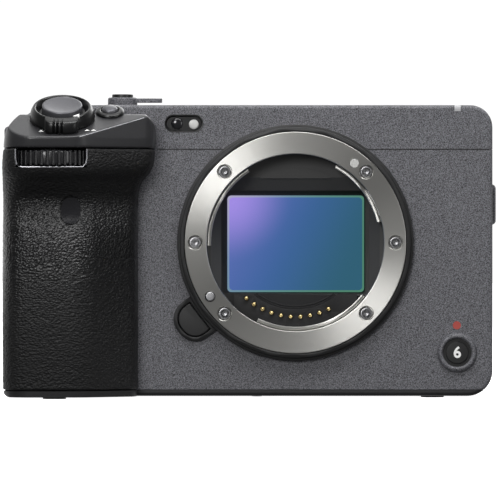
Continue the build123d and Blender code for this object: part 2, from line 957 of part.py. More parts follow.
fan_back = fan_front + fan_depth
fan_place = (fan_x, fan_z)
duct_low = fan_z - fan_r - fan_gap
duct_high = duct_low + duct_height
duct_end = right - wall - seat_fit - slide_fit
fan_room_r = fan_r + fan_gap
with BuildPart() as fan_housing:
    disc(facing_front(fan_back), fan_place, fan_room_r + fan_wall, fan_depth)
    block(
        (fan_x, fan_front, duct_low - fan_wall),
        (duct_end, fan_back, duct_high + fan_wall),
    )
    carrier_top = post_z + plate_margin
    block(
        (fan_x, fan_back - fan_wall, -carrier_top),
        (plate_half_width, fan_back, carrier_top),
    )
    disc(facing_front(fan_back - fan_wall), fan_place, fan_room_r, far, Mode.SUBTRACT)
    block(
        (fan_x, fan_front - 1, duct_low),
        (duct_end + 1, fan_back - fan_wall, duct_high),
        mode=Mode.SUBTRACT,
    )
    for place in post_places:
        disc(facing_front(0), place, post_r + seat_fit, -far, Mode.SUBTRACT)
    disc(facing_front(fan_back - fan_wall), fan_place, fan_pin_r, fan_depth - 2 * fan_wall)
save(fan_housing, "fan_housing")

with BuildPart() as fan_rotor:
    rotor_back = fan_back - fan_wall - fan_gap
    rotor_height = fan_depth - fan_wall - 2 * fan_gap
    disc(facing_front(rotor_back), fan_place, fan_hub_r, rotor_height)
    disc(facing_front(rotor_back), fan_place, fan_r, fan_wall)
    for index in range(fan_blade_count):
        blade_plane = Plane(
            origin=(fan_x, rotor_back, fan_z),
            x_dir=(cos(radians(index * 360 / fan_blade_count)), 0, sin(radians(index * 360 / fan_blade_count))),
            z_dir=(0, -1, 0),
        )
        with BuildSketch(blade_plane):
            with Locations(((fan_r + fan_hub_r) / 2 - 0.3, 0)):
                Rectangle(fan_r - fan_hub_r, fan_gap)
        extrude(amount=rotor_height)
    disc(facing_front(0), fan_place, fan_pin_r + running_fit, -far, Mode.SUBTRACT)
save(fan_rotor, "fan_rotor")

with BuildPart() as main_board:
    block(
        (board_left, post_end + seat_fit, board_low),
        (board_right, post_end + seat_fit + board_thickness, board_high),
    )
    chip_back = post_end + seat_fit + board_thickness + chip_height
    for inset, rise, width, height in board_chips:
        chip_left = board_left + inset - width / 2
        chip_low = board_low + rise - height / 2
        block(
            (chip_left, post_end + seat_fit, chip_low),
            (chip_left + width, chip_back, chip_low + height),
        )
save(main_board, "main_board")

reader_left = left + wall + slide_fit + seat_fit
with BuildPart() as card_reader:
    block(
        (reader_left, reader_front, card_door[2] + 2),
        (reader_left + reader_width, reader_back, card_door[3] - 2),
    )
    slot_width, slot_gap = card_slot
    for index in (-1, 1):
        slot_y = (reader_front + reader_back) / 2 + index * slot_gap / 2
        block(
            (reader_left - 1, slot_y - slot_width / 2, card_door[2] + 5),
            (reader_left + reader_width - 2, slot_y + slot_width / 2, card_door[3] - 5),
            mode=Mode.SUBTRACT,
        )
save(card_reader, "card_reader")

with BuildPart() as jack_sockets:
    board_y = (frame_back + plate_fit, audio_cover[0] - 1)
    block(
        (socket_back_x - 1.4, board_y[0], data_cover[2] + 1),
        (socket_back_x, board_y[1], audio_cover[3] - 1),
    )
    for z in audio_jack_heights:
        disc(facing_right(socket_back_x), (socket_y, z), audio_jack_r, socket_reach)
        jack_end = facing_right(socket_back_x + socket_reach)
        disc(jack_end, (socket_y, z), audio_jack_bore, -socket_reach, Mode.SUBTRACT)
    video_length, video_width = video_socket_size
    sockets = [(video_socket_z, video_width, video_length)]
    for z in data_socket_heights:
        sockets.append((z, *data_socket_size))
    for z, width, height in sockets:
        block(
            (socket_back_x, socket_y - width / 2, z - height / 2),
            (socket_back_x + socket_reach, socket_y + width / 2, z + height / 2),
        )
        block(
            (
                socket_back_x,
                socket_y - width / 2 + socket_shell,
                z - height / 2 + socket_shell,
            ),
            (
                socket_back_x + socket_reach + 1,
                socket_y + width / 2 - socket_shell,
                z + height / 2 - socket_shell,
            ),
            mode=Mode.SUBTRACT,
        )
        tongue_width = min(socket_tongue, width / 3)
        block(
            (socket_back_x, socket_y - tongue_width / 2, z - height / 2 + 2 * socket_shell),
            (
                socket_back_x + socket_reach - 1,
                socket_y + tongue_width / 2,
                z + height / 2 - 2 * socket_shell,
            ),
        )
save(jack_sockets, "jack_sockets")

# Front cover
record_place = (record_x, record_z)
record_hole_r = record_r + record_gap
grip_room = (
    (left + wall + seat_fit, front - 1, plate_top - 1),
    (chamber_high[0] + seat_fit, front + wall + 1, chamber_high[2] + seat_fit),
)
with BuildPart() as front_cover:
    add(casing.part)
    block(
        (-far, 0, above_plate),
        (far, rear_split - seam_gap / 2, below_seam),
        mode=Mode.INTERSECT,
    )
    disc(facing_front(0), (0, 0), collar_web_r + seat_fit, -front - wall - 1, Mode.SUBTRACT)
    with BuildSketch(facing_front(0)):
        add(release_room)
    extrude(amount=-front - wall - 1, mode=Mode.SUBTRACT)
    tube(
        facing_front(front + seat_fit),
        record_place,
        record_bezel_r,
        record_hole_r,
        record_bezel_height + seat_fit,
    )
    disc(facing_front(0), record_place, record_hole_r, -front - wall - 1, Mode.SUBTRACT)
    block(*grip_room, mode=Mode.SUBTRACT)
    for sizes in (audio_cover, data_cover):
        side_opening(right, sizes)
        side_pin(right, sizes)
    side_opening(left, card_door)
    side_pin(left, card_door)
    block(
        (right - 2 * wall, grille_front, grille_low),
        (right + 1, grille_back, grille_high),
        mode=Mode.SUBTRACT,
    )
    block(
        (right - lug_pocket, right_lug_span[0], right_lug_low + lug_end),
        (right + 1, right_lug_span[1], right_lug_high - lug_end),
        mode=Mode.SUBTRACT,
    )
save(front_cover, "front_cover")

with BuildPart() as front_record_button:
    record_reach = frame_front - front - button_flange_gap - 0.5
    disc(facing_front(front - record_proud), record_place, record_r, -record_proud - record_reach)
    fillet(front_record_button.faces().sort_by(Axis.Y)[0].edges(), button_round)
save(front_record_button, "front_record_button")

# Rear cover
rear_face = facing_back(back)
wheel_place = (-wheel_x, wheel_z)
joystick_place = (-joystick_x, joystick_z)
rear_places = {
    "playback_button": playback_place,
    "delete_button": delete_place,
}
knuckle_tops = [
    (monitor_high + monitor_gap, monitor_knuckle_height),
    (monitor_low - monitor_gap - monitor_knuckle_height, monitor_knuckle_height),
]
hinge_place = (monitor_hinge_x, monitor_hinge_y)

with BuildPart() as rear_cover:
    add(casing.part)
    block(
        (-far, rear_split + seam_gap / 2, above_plate),
        (far, far, below_seam),
        mode=Mode.INTERSECT,
    )
    disc(rear_face, wheel_place, wheel_r + slide_fit, -wheel_recess, Mode.SUBTRACT)
    sleeve_inner = centre_button_r + button_fit
    tube(
        rear_face.offset(-wheel_recess),
        wheel_place,
        sleeve_inner + wheel_sleeve_thickness,
        sleeve_inner,
        wheel_sleeve_height,
    )
    disc(rear_face, wheel_place, shutter_stem_r + button_fit, -wall - 1, Mode.SUBTRACT)
    tube(
        facing_back(joystick_pivot - joystick_socket_wall),
        joystick_place,
        joystick_socket_r + joystick_socket_wall,
        joystick_socket_r,
        back - wall - joystick_pivot + joystick_socket_wall,
    )
    disc(rear_face, joystick_place, joystick_hole_r, -wall - 1, Mode.SUBTRACT)
    for place in rear_places.values():
        button_hole(rear_face, (-place[0], place[1]), rear_button_r)
    disc(rear_face, (-rear_lamp_x, rear_lamp_z), rear_lamp_r + seat_fit, -wall - 1, Mode.SUBTRACT)
    for low_z, height in knuckle_tops:
        disc(Plane.XY.offset(low_z), hinge_place, monitor_knuckle_r, height)
        block(
            (monitor_hinge_x - monitor_knuckle_r, back - wall, low_z),
            (monitor_hinge_x + monitor_knuckle_r, monitor_hinge_y, low_z + height),
        )
    pin_high = monitor_high + monitor_gap
    pin_low = monitor_low - monitor_gap
    disc(Plane.XY.offset(pin_high), hinge_place, monitor_pin_r, -monitor_pin_length)
    disc(Plane.XY.offset(pin_low), hinge_place, monitor_pin_r, monitor_pin_length)
    side_opening(left, card_door)
save(rear_cover, "rear_cover")


def save_button(name, plane, place, radius, proud):
    """Makes a round button and writes it."""
    with BuildPart() as button:
        round_button(plane, place, radius, proud)
    save(button, name)


for name, place in rear_places.items():
    save_button(name, rear_face, (-place[0], place[1]), rear_button_r, rear_button_proud)
menu_in_plane = (-menu_place[0], menu_place[1])
save_button("menu_button", rear_face, menu_in_plane, rear_button_r, rear_button_proud)

with BuildPart() as control_wheel:
    wheel_base = rear_face.offset(-wheel_recess + seat_fit)
    tube(wheel_base, wheel_place, wheel_r, wheel_bore_r, wheel_thickness)
    fillet(control_wheel.faces().sort_by(Axis.Y)[-1].edges(), wheel_round)
save(control_wheel, "control_wheel")

with BuildPart() as centre_button:
    button_base = rear_face.offset(-wheel_recess + 0.6)
    disc(button_base, wheel_place, centre_button_r, wheel_recess - 0.6 + centre_button_proud)
    fillet(centre_button.faces().sort_by(Axis.Y)[-1].edges(), centre_button_round)
    disc(button_base, wheel_place, shutter_stem_r, -wall)
save(centre_button, "centre_button")

pivot_plane = facing_back(joystick_pivot)
with BuildPart() as joystick_gimbal:
    gimbal_low = pivot_plane.offset(-gimbal_thickness / 2)
    tube(
        gimbal_low,
        joystick_place,
        gimbal_r,
        joystick_ball_r + running_fit,
        gimbal_thickness,
    )
save(joystick_gimbal, "joystick_gimbal")

with BuildPart() as joystick_cap:
    with Locations((joystick_x, joystick_pivot, joystick_z)):
        Sphere(joystick_ball_r)
    disc(pivot_plane, joystick_place, joystick_stem_r, joystick_knob_back - joystick_pivot)
    knob_plane = facing_back(joystick_knob_front)
    disc(knob_plane, joystick_place, joystick_knob_r, joystick_knob_back - joystick_knob_front)
    fillet(joystick_cap.faces().sort_by(Axis.Y)[-1].edges(), joystick_round)
save(joystick_cap, "joystick_cap")

# Top cover
shoe_half = shoe_slot_width / 2 + shoe_side
shoe_floor = top - shoe_lip_thickness - shoe_slot_height
pill_centre = ((pill_left + pill_right) / 2, pill_z)
pill_length = pill_right - pill_left
top_face = Plane.XY.offset(top)
top_buttons = {"iso_button": iso_button_x, "iris_button": iris_button_x}
tally_low = (tally_x - tally_size / 2, front, top - tally_size)
tally_high = (tally_x + tally_size / 2, front + tally_size, top)
rear_dial_low = rear_dial_z - rear_dial_height / 2
rear_dial_place = (rear_dial_x, rear_dial_y)

with BuildPart() as top_cover:
    add(casing.part)
    block((-far, 0, above_seam), (far, far, far), mode=Mode.INTERSECT)
    disc(facing_front(0), (0, 0), collar_web_r + seat_fit, -front - wall - 1, Mode.SUBTRACT)
    for place in bush_places:
        disc(top_face, place, bush_r + seat_fit, -wall - 1, Mode.SUBTRACT)
    block(
        (-shoe_half, shoe_front, seam_z),
        (shoe_half, shoe_back, top + 1),
        mode=Mode.SUBTRACT,
    )
    shoe_path = shoe_slot_width / 2
    block((-shoe_path, shoe_back - 1, shoe_floor), (shoe_path, back + 1, top + 1), mode=Mode.SUBTRACT)
    with BuildSketch(facing_front(front)):
        with Locations(pill_centre):
            SlotOverall(pill_length + 2 * seat_fit, pill_height + 2 * seat_fit)
    extrude(amount=-lens_recess, mode=Mode.SUBTRACT)
    block(
        (tally_low[0] - seat_fit, 0, tally_low[2] - seat_fit),
        (tally_high[0] + seat_fit, front + tally_size + seat_fit, top + 1),
        mode=Mode.SUBTRACT,
    )
    disc(top_face, (power_x, power_y), power_stem_r + running_fit, -wall - 1, Mode.SUBTRACT)
    for x in top_buttons.values():
        button_hole(top_face, (x, top_button_y), top_button_r)
    button_hole(rear_face, menu_in_plane, rear_button_r)
    slot_r = rear_dial_r + dial_clearance
    slot_plane = Plane.XY.offset(rear_dial_low - dial_clearance)
    slot_height = rear_dial_height + 2 * dial_clearance
    disc(slot_plane, rear_dial_place, slot_r, slot_height, Mode.SUBTRACT)
    disc(Plane.XY.offset(top - wall + seat_fit), rear_dial_place, dial_pin_r,
         rear_dial_low - dial_clearance - top + wall)
    for column in microphone_columns:
        with BuildSketch(top_face):
            with Locations((column, microphone_y)):
                with GridLocations(microphone_pitch, microphone_pitch, 4, 2):
                    Circle(microphone_hole_r)
        extrude(amount=-wall - 1, mode=Mode.SUBTRACT)
save(top_cover, "top_cover")

for name, x in top_buttons.items():
    save_button(name, top_face, (x, top_button_y), top_button_r, top_button_proud)

with BuildPart() as accessory_shoe:
    lip_top = top - seat_fit
    side_edge = shoe_half - seat_fit
    shoe_base = shoe_floor - shoe_base_thickness
    block(
        (-side_edge, shoe_front + seat_fit, shoe_base),
        (side_edge, shoe_back - seat_fit, lip_top),
    )
    block((-side_edge, shoe_front + seat_fit, shoe_base), (side_edge, back - wall - 0.3, shoe_floor))
    block(
        (-shoe_slot_width / 2, shoe_front + shoe_side, shoe_floor),
        (shoe_slot_width / 2, back, shoe_floor + shoe_slot_height),
        mode=Mode.SUBTRACT,
    )
    block(
        (-shoe_opening_width / 2, shoe_front + shoe_side, shoe_floor),
        (shoe_opening_width / 2, back, top + 1),
        mode=Mode.SUBTRACT,
    )
save(accessory_shoe, "accessory_shoe")

with BuildPart() as thread_bushes:
    for place in bush_places:
        disc(top_face.offset(-seat_fit), place, bush_r, seat_fit - bush_length)
        bush_flange = top_face.offset(-wall - 2 * seat_fit)
        disc(bush_flange, place, bush_flange_r, -bush_flange_thickness)
        disc(top_face, place, bush_bore_r, -bush_length - 1, Mode.SUBTRACT)
    tripod_place = (0, tripod_y)
    under = Plane.XY.offset(base + seat_fit)
    disc(under, tripod_place, tripod_bush_r, bush_length - seat_fit)
    tripod_flange = Plane.XY.offset(plate_top + 2 * seat_fit)
    disc(tripod_flange, tripod_place, tripod_bush_r + 2, bush_flange_thickness)
    disc(Plane.XY.offset(base - 1), tripod_place, bush_bore_r, bush_length + 2, Mode.SUBTRACT)
save(thread_bushes, "thread_bushes")

with BuildPart() as power_lever:
    hub_base = top_face.offset(seat_fit)
    power_place = (power_x, power_y)
    disc(hub_base, power_place, power_hub_r, power_hub_height)
    chamfer(power_lever.faces().sort_by(Axis.Z)[-1].edges(), power_chamfer)
    disc(hub_base, power_place, power_knob_r, power_knob_height)
    fillet(power_lever.faces().sort_by(Axis.Z)[-1].edges(), button_round)
    with BuildSketch(top_face.offset(power_arm_low)):
        with Locations((power_x + power_arm_reach / 2, power_y)):
            SlotOverall(power_arm_reach, power_arm_width)
    extrude(amount=power_hub_height - power_arm_low - 0.2)
    disc(hub_base, power_place, power_stem_r, -power_stem_length)
save(power_lever, "power_lever")

with BuildPart() as rear_dial:
    dial_base = Plane.XY.offset(rear_dial_low)
    with BuildSketch(dial_base):
        with Locations(rear_dial_place):
            Circle(rear_dial_r)
            Circle(dial_pin_r + running_fit, mode=Mode.SUBTRACT)
            with PolarLocations(rear_dial_r, knurl_count):
                Circle(knurl_depth, mode=Mode.SUBTRACT)
    extrude(amount=rear_dial_height)
save(rear_dial, "rear_dial")

with BuildPart() as lamp_lenses:
    block(tally_low, tally_high)
    corner_edges = lamp_lenses.edges().filter_by(Axis.X).sort_by(lambda edge: edge.center().Y - edge.center().Z)
    fillet(corner_edges[0], front_edge_round)
    disc(rear_face.offset(0.2), (-rear_lamp_x, rear_lamp_z), rear_lamp_r, -wall - 0.2)
save(lamp_lenses, "lamp_lenses")

# Strap lugs: a bar that stands off the casing's side
with BuildPart() as strap_lugs:
    block(
        (right + seat_fit, right_lug_span[0], right_lug_low),
        (right + right_lug_reach, right_lug_span[1], right_lug_high),
    )
    lug_edges = strap_lugs.edges().filter_by(Axis.Y).group_by(Axis.X)[-1]
    fillet(lug_edges, lug_round)
    block(
        (right, right_lug_span[0] - 1, right_lug_low + lug_end),
        (right + right_lug_reach - lug_bar, right_lug_span[1] + 1, right_lug_high - lug_end),
        mode=Mode.SUBTRACT,
    )

with BuildPart() as left_lug:
    block(
        (left - left_lug_reach, left_lug_span[0], left_lug_low),
        (left + left_top_round / 3, left_lug_span[1], left_lug_high),
    )
    fillet(left_lug.edges().filter_by(Axis.Y).group_by(Axis.X)[0], lug_round)
    block(
        (left - left_lug_reach + lug_bar, left_lug_span[0] - 1, left_lug_low + lug_end),
        (left + left_top_round, left_lug_span[1] + 1, left_lug_high - lug_end),
        mode=Mode.SUBTRACT,
    )
    add(case_block(-seat_fit, front, back), mode=Mode.SUBTRACT)
with BuildPart() as all_lugs:
    add(strap_lugs.part)
    add(left_lug.part)
save(all_lugs, "strap_lugs")

with BuildPart() as vent_grille:
    block(
        (right - wall - 0.2 + seat_fit, grille_front + seat_fit, grille_low + seat_fit),
        (right, grille_back - seat_fit, grille_high - seat_fit),
    )
    grille_pitch = (grille_high - grille_low - 2) / grille_slot_count
    for index in range(grille_slot_count):
        slot_z = grille_low + 1 + grille_pitch * (index + 0.5)
        block(
            (right - 3 * wall, grille_front + 1.2, slot_z - grille_slot_width / 2),
            (right + 1, grille_back - 1.2, slot_z + grille_slot_width / 2),
            mode=Mode.SUBTRACT,
        )
save(vent_grille, "vent_grille")

# Base plate and battery door
door_left = battery_left - door_margin
door_front = battery_front - door_margin
door_back = battery_back + door_margin
battery_hinge_x = battery_right + battery_hinge_inset
door_right = battery_hinge_x - hinge_lip
knuckle_front = door_front + 10
knuckle_back = door_back - 8
door_low = base + seat_fit


def door_outline(margin):
    """The battery door's outline, grown by margin."""
    with BuildSketch(Plane.XY, mode=Mode.PRIVATE) as outline:
        with BuildLine():
            Polyline(
                (door_left - margin, door_back + margin),
                (door_left - margin, door_front - margin),
                (door_right - door_corner + margin / 2, door_front - margin),
                (door_right + margin, door_front + door_corner - margin / 2),
                (door_right + margin, door_back + margin),
                close=True,
            )
        make_face()
    return outline.sketch


def along_y(place, radius, start, end, mode=Mode.ADD):
    """A round bar along Y at (x, z)."""
    disc(facing_front(end), place, radius, end - start, mode)


hinge_point = (battery_hinge_x, battery_hinge_z)
foot_right = right - right_bottom_round - foot_inset - foot_radius
foot_left = left + left_bottom_round + foot_inset + foot_radius
foot_places = [
    (foot_right, front + foot_inset),
    (foot_right, back - foot_inset),
    (foot_left, back - foot_inset),
    (foot_left, (front - grip_stations[0][2] + door_front) / 2),
]
with BuildPart() as base_plate:
    add(outer_case.part)
    add(grip_solid(0.3, base, seam_z))
    block((-far, -far, base - 1), (far, far, plate_top), mode=Mode.INTERSECT)
    with BuildSketch(Plane.XY.offset(base - 1)):
        add(door_outline(door_fit))
    extrude(amount=2 * wall, mode=Mode.SUBTRACT)
    block(
        (door_right - 1, door_front + door_corner - 1, base - 1),
        (door_right + hinge_gap, door_back + door_fit, plate_top + 1),
        mode=Mode.SUBTRACT,
    )
    block(
        (door_right - 1, knuckle_front - door_fit, base - 1),
        (battery_hinge_x + hinge_knuckle_r + 2 * door_fit, knuckle_back + door_fit, plate_top + 1),
        mode=Mode.SUBTRACT,
    )
    along_y(hinge_point, hinge_pin_r, knuckle_front - 2 * door_fit, knuckle_back + 2 * door_fit)
    disc(Plane.XY.offset(base - 1), tripod_place, tripod_bush_r + seat_fit, 2 * wall, Mode.SUBTRACT)
    for x, y in foot_places:
        disc(facing_down(base), (x, -y), foot_radius, foot_height)
save(base_plate, "base_plate")

with BuildPart() as battery_door:
    with BuildSketch(Plane.XY.offset(door_low)):
        add(door_outline(0))
    extrude(amount=door_thickness)
    along_y(hinge_point, hinge_knuckle_r, knuckle_front, knuckle_back)
    block(
        (door_right - 0.2, knuckle_front, battery_hinge_z - 0.35),
        (battery_hinge_x, knuckle_back, battery_hinge_z + 0.35),
    )
    along_y(hinge_point, hinge_pin_r + running_fit, -far, far, Mode.SUBTRACT)
    latch_y = (door_front + door_back - latch_length) / 2
    latch_x = door_left + 2
    pocket_x = latch_x - door_fit
    block(
        (pocket_x, latch_y - door_fit, base - 1),
        (
            latch_x + latch_width + latch_travel + door_fit,
            latch_y + latch_length + door_fit,
            door_low + latch_pocket,
        ),
        mode=Mode.SUBTRACT,
    )
save(battery_door, "battery_door")

with BuildPart() as battery_latch:
    latch_low = door_low + latch_pocket - latch_thickness - seat_fit
    block(
        (latch_x, latch_y, latch_low),
        (latch_x + latch_width, latch_y + latch_length, latch_low + latch_thickness),
    )
save(battery_latch, "battery_latch")

with BuildPart() as battery:
    block(
        (battery_left, battery_front, battery_low),
        (battery_right, battery_back, battery_high),
    )
    fillet(battery.edges().filter_by(Axis.Z), battery_corner)
save(battery, "battery")

with BuildPart() as card_door_part:
    side_door(left, card_door)
save(card_door_part, "card_door")

with BuildPart() as audio_cover_part:
    side_door(right, audio_cover)
save(audio_cover_part, "audio_cover")

with BuildPart() as data_cover_part:
    side_door(right, data_cover)
save(data_cover_part, "data_cover")

# Grip pieces
front_dial_low = front_dial_z - front_dial_height / 2
front_dial_place = (front_dial_x, front_dial_y)
window_plane = facing_front(front)
grip_window_place = (grip_window_x, grip_window_z)
window_reach = grip_stations[4][2] + 6


def dial_room(mode=Mode.SUBTRACT):
    """The space round the front dial, open to the front."""
    room_plane = Plane.XY.offset(front_dial_low - dial_clearance)
    room_height = above_seam - front_dial_low + dial_clearance
    room_r = front_dial_r + dial_clearance
    disc(room_plane, front_dial_place, room_r, room_height, mode)
    slot_left, slot_right = front_dial_slot
    block(
        (slot_left, -far, front_dial_low - dial_clearance),
        (slot_right, front_dial_room_back, above_seam),
        mode=mode,
    )


def grip_window_prism(margin, mode=Mode.SUBTRACT):
    """The oval window's outline, through the grip's skin."""
    with BuildSketch(window_plane) as profile:
        with Locations(grip_window_place):
            Ellipse(grip_window_width / 2 + margin, grip_window_height / 2 + margin)
    extrude(profile.sketch, amount=window_reach, mode=mode)


with BuildPart() as grip_skin:
    add(grip_solid(0, above_plate, below_seam))
    add(grip_solid(rubber_thickness, above_plate - 1, below_seam + 1), mode=Mode.SUBTRACT)

with BuildPart() as grip_rubber:
    add(grip_skin.part)
    dial_room()
    grip_window_prism(seat_fit)
    block(
        (left - rubber_thickness, front - seat_fit, above_plate + left_bottom_round / 2),
        (left - seat_fit, side_wrap_end, below_seam - seam_gap),
    )

with BuildPart() as thumb_rest:
    with BuildSketch(rear_face.offset(seat_fit)):
        with Locations(
            (-(thumb_rest_left + thumb_rest_right) / 2, (thumb_rest_low + thumb_rest_high) / 2)
        ):
            RectangleRounded(
                thumb_rest_right - thumb_rest_left, thumb_rest_high - thumb_rest_low, 4.0
            )
    extrude(amount=thumb_rest_reach, taper=18)
    fillet(thumb_rest.faces().sort_by(Axis.Y)[-1].edges(), thumb_rest_round)

with BuildPart() as grip_rubbers:
    add(grip_rubber.part)
    add(thumb_rest.part)
save(grip_rubbers, "grip_rubber")

with BuildPart() as infrared_windows:
    add(grip_skin.part)
    grip_window_prism(0, Mode.INTERSECT)
    with BuildSketch(facing_front(front)):
        with Locations(pill_centre):
            SlotOverall(pill_length, pill_height)
    extrude(amount=seat_fit - lens_recess)
save(infrared_windows, "infrared_windows")

inner_skin = rubber_thickness + seat_fit
with BuildPart() as grip_hollow:
    add(grip_solid(inner_skin + core_thickness, above_plate, below_seam + 1))
    block((-far, -far, dial_floor_low), (far, far, dial_floor_high), mode=Mode.SUBTRACT)
    block(
        (-far, chamber_low[1], base),
        (chamber_high[0], far, chamber_high[2]),
        mode=Mode.SUBTRACT,
    )

with BuildPart() as battery_tube:
    add(case_block(wall + 2 * seat_fit, front - 1, battery_back + 2))
    block((-far, -far, above_plate), chamber_high, mode=Mode.INTERSECT)

with BuildPart() as grip_core:
    add(grip_solid(inner_skin, above_plate, below_seam))
    add(grip_hollow.part, mode=Mode.SUBTRACT)
    add(battery_tube.part)
    block(room_low, room_high, mode=Mode.SUBTRACT)
    dial_room()
    axle_plane = Plane.XY.offset(dial_floor_low)
    disc(axle_plane, front_dial_place, dial_pin_r, below_seam - dial_floor_low)
save(grip_core, "grip_core")

with BuildPart() as front_dial:
    with BuildSketch(Plane.XY.offset(front_dial_low)):
        with Locations(front_dial_place):
            Circle(front_dial_r)
            Circle(dial_pin_r + running_fit, mode=Mode.SUBTRACT)
            with PolarLocations(front_dial_r, knurl_count):
                Circle(knurl_depth, mode=Mode.SUBTRACT)
    extrude(amount=front_dial_height)
save(front_dial, "front_dial")

sleeve_inner_r = shutter_button_r + button_fit
with BuildPart() as grip_cap:
    add(cap_solid(0))
    add(cap_solid(cap_thickness), mode=Mode.SUBTRACT)
    disc(deck, (0, 0), lever_base_r - slide_fit, -cap_thickness)
    tube(deck, (0, 0), sleeve_inner_r + sleeve_thickness, sleeve_inner_r, sleeve_height)
    disc(deck, (0, 0), shutter_stem_r + button_fit, -2 * cap_thickness, Mode.SUBTRACT)
    disc(deck, grip_button_place, grip_button_collar_r, grip_button_collar_height)
    hole_r = grip_button_r + button_fit
    button_top = deck.offset(grip_button_collar_height)
    disc(button_top, grip_button_place, hole_r, -2 * cap_thickness, Mode.SUBTRACT)
save(grip_cap, "grip_cap")

with BuildPart() as zoom_lever:
    with BuildSketch(deck.offset(lever_lift)):
        Circle(lever_base_r)
    with BuildSketch(deck.offset(lever_height)):
        Circle(lever_top_r)
    loft()
    with BuildSketch(deck.offset(lever_lift)):
        with Locations((0, -lever_tab_reach / 2)):
            Rectangle(lever_tab_width, lever_tab_reach)
    extrude(amount=lever_height - lever_lift)
    rib_pitch = lever_tab_width / lever_rib_count
    for index in range(lever_rib_count - 1):
        groove_x = rib_pitch * (index + 1) - lever_tab_width / 2
        with BuildSketch(deck.offset(lever_lift)):
            with Locations((groove_x, -lever_tab_reach)):
                Rectangle(rib_pitch / 3, 1.0)
        extrude(amount=lever_height, mode=Mode.SUBTRACT)
    disc(deck, (0, 0), lever_bore_r, 2 * lever_height, Mode.SUBTRACT)
save(zoom_lever, "zoom_lever")

with BuildPart() as shutter_button:
    disc_plane = deck.offset(shutter_button_low)
    disc(disc_plane, (0, 0), shutter_button_r, shutter_button_high - shutter_button_low)
    fillet(shutter_button.faces().sort_by(Axis(deck.origin, deck.z_dir))[-1].edges(), shutter_button_round)
    dish_r = (shutter_button_r ** 2 + shutter_button_dish ** 2) / (2 * shutter_button_dish)
    dish_centre = deck.from_local_coords(
        Vector(0, 0, shutter_button_high - shutter_button_dish + dish_r)
    )
    with Locations(dish_centre):
        Sphere(dish_r, mode=Mode.SUBTRACT)
    disc(disc_plane, (0, 0), shutter_stem_r, -shutter_stem_length)
save(shutter_button, "shutter_button")

with BuildPart() as grip_button:
    disc(deck.offset(-cap_thickness), grip_button_place, grip_button_r, cap_thickness + grip_button_proud)
    fillet(grip_button.faces().sort_by(Axis(deck.origin, deck.z_dir))[-1].edges(), grip_button_round)
save(grip_button, "grip_button")

# Monitor: a screen in a frame on a hinge block, which turns about an upright pin
arm_left = monitor_hinge_x - monitor_hinge_reach
monitor_left = arm_left - monitor_width
monitor_front = back + monitor_gap
monitor_back = monitor_front + monitor_thickness
with BuildPart() as monitor_arm:
    disc(Plane.XY.offset(monitor_low), hinge_place, monitor_knuckle_r, monitor_high - monitor_low)
    block(
        (arm_left + seat_fit, monitor_hinge_y - monitor_knuckle_r + 0.3, monitor_low),
        (monitor_hinge_x, monitor_hinge_y + monitor_knuckle_r - 0.3, monitor_high),
    )
    bore_length = monitor_pin_length + 0.5
    for end_z, way in ((monitor_high, -1), (monitor_low, 1)):
        end_plane = Plane.XY.offset(end_z)
        disc(end_plane, hinge_place, monitor_pin_r + running_fit, way * bore_length, Mode.SUBTRACT)
save(monitor_arm, "monitor_arm")

screen_low = (monitor_left + screen_margin, monitor_low + screen_margin)
screen_high = (arm_left - screen_margin - 1, monitor_high - screen_margin)
with BuildPart() as monitor_frame:
    block(
        (monitor_left, monitor_front, monitor_low),
        (arm_left, monitor_back, monitor_high),
    )
    fillet(monitor_frame.edges().filter_by(Axis.Y).group_by(Axis.X)[0], monitor_round)
    chamfer(monitor_frame.faces().sort_by(Axis.Y)[-1].edges(), monitor_chamfer)
    block(
        (screen_low[0], monitor_back - screen_thickness - screen_recess, screen_low[1]),
        (screen_high[0], monitor_back + 1, screen_high[1]),
        mode=Mode.SUBTRACT,
    )
save(monitor_frame, "monitor_frame")

with BuildPart() as monitor_screen:
    block(
        (
            screen_low[0] + seat_fit,
            monitor_back - screen_thickness - screen_recess + seat_fit,
            screen_low[1] + seat_fit,
        ),
        (screen_high[0] - seat_fit, monitor_back - screen_recess, screen_high[1] - seat_fit),
    )
save(monitor_screen, "monitor_screen")
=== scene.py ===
import json
import math

import bmesh
import bpy
from mathutils import Matrix, Vector, noise

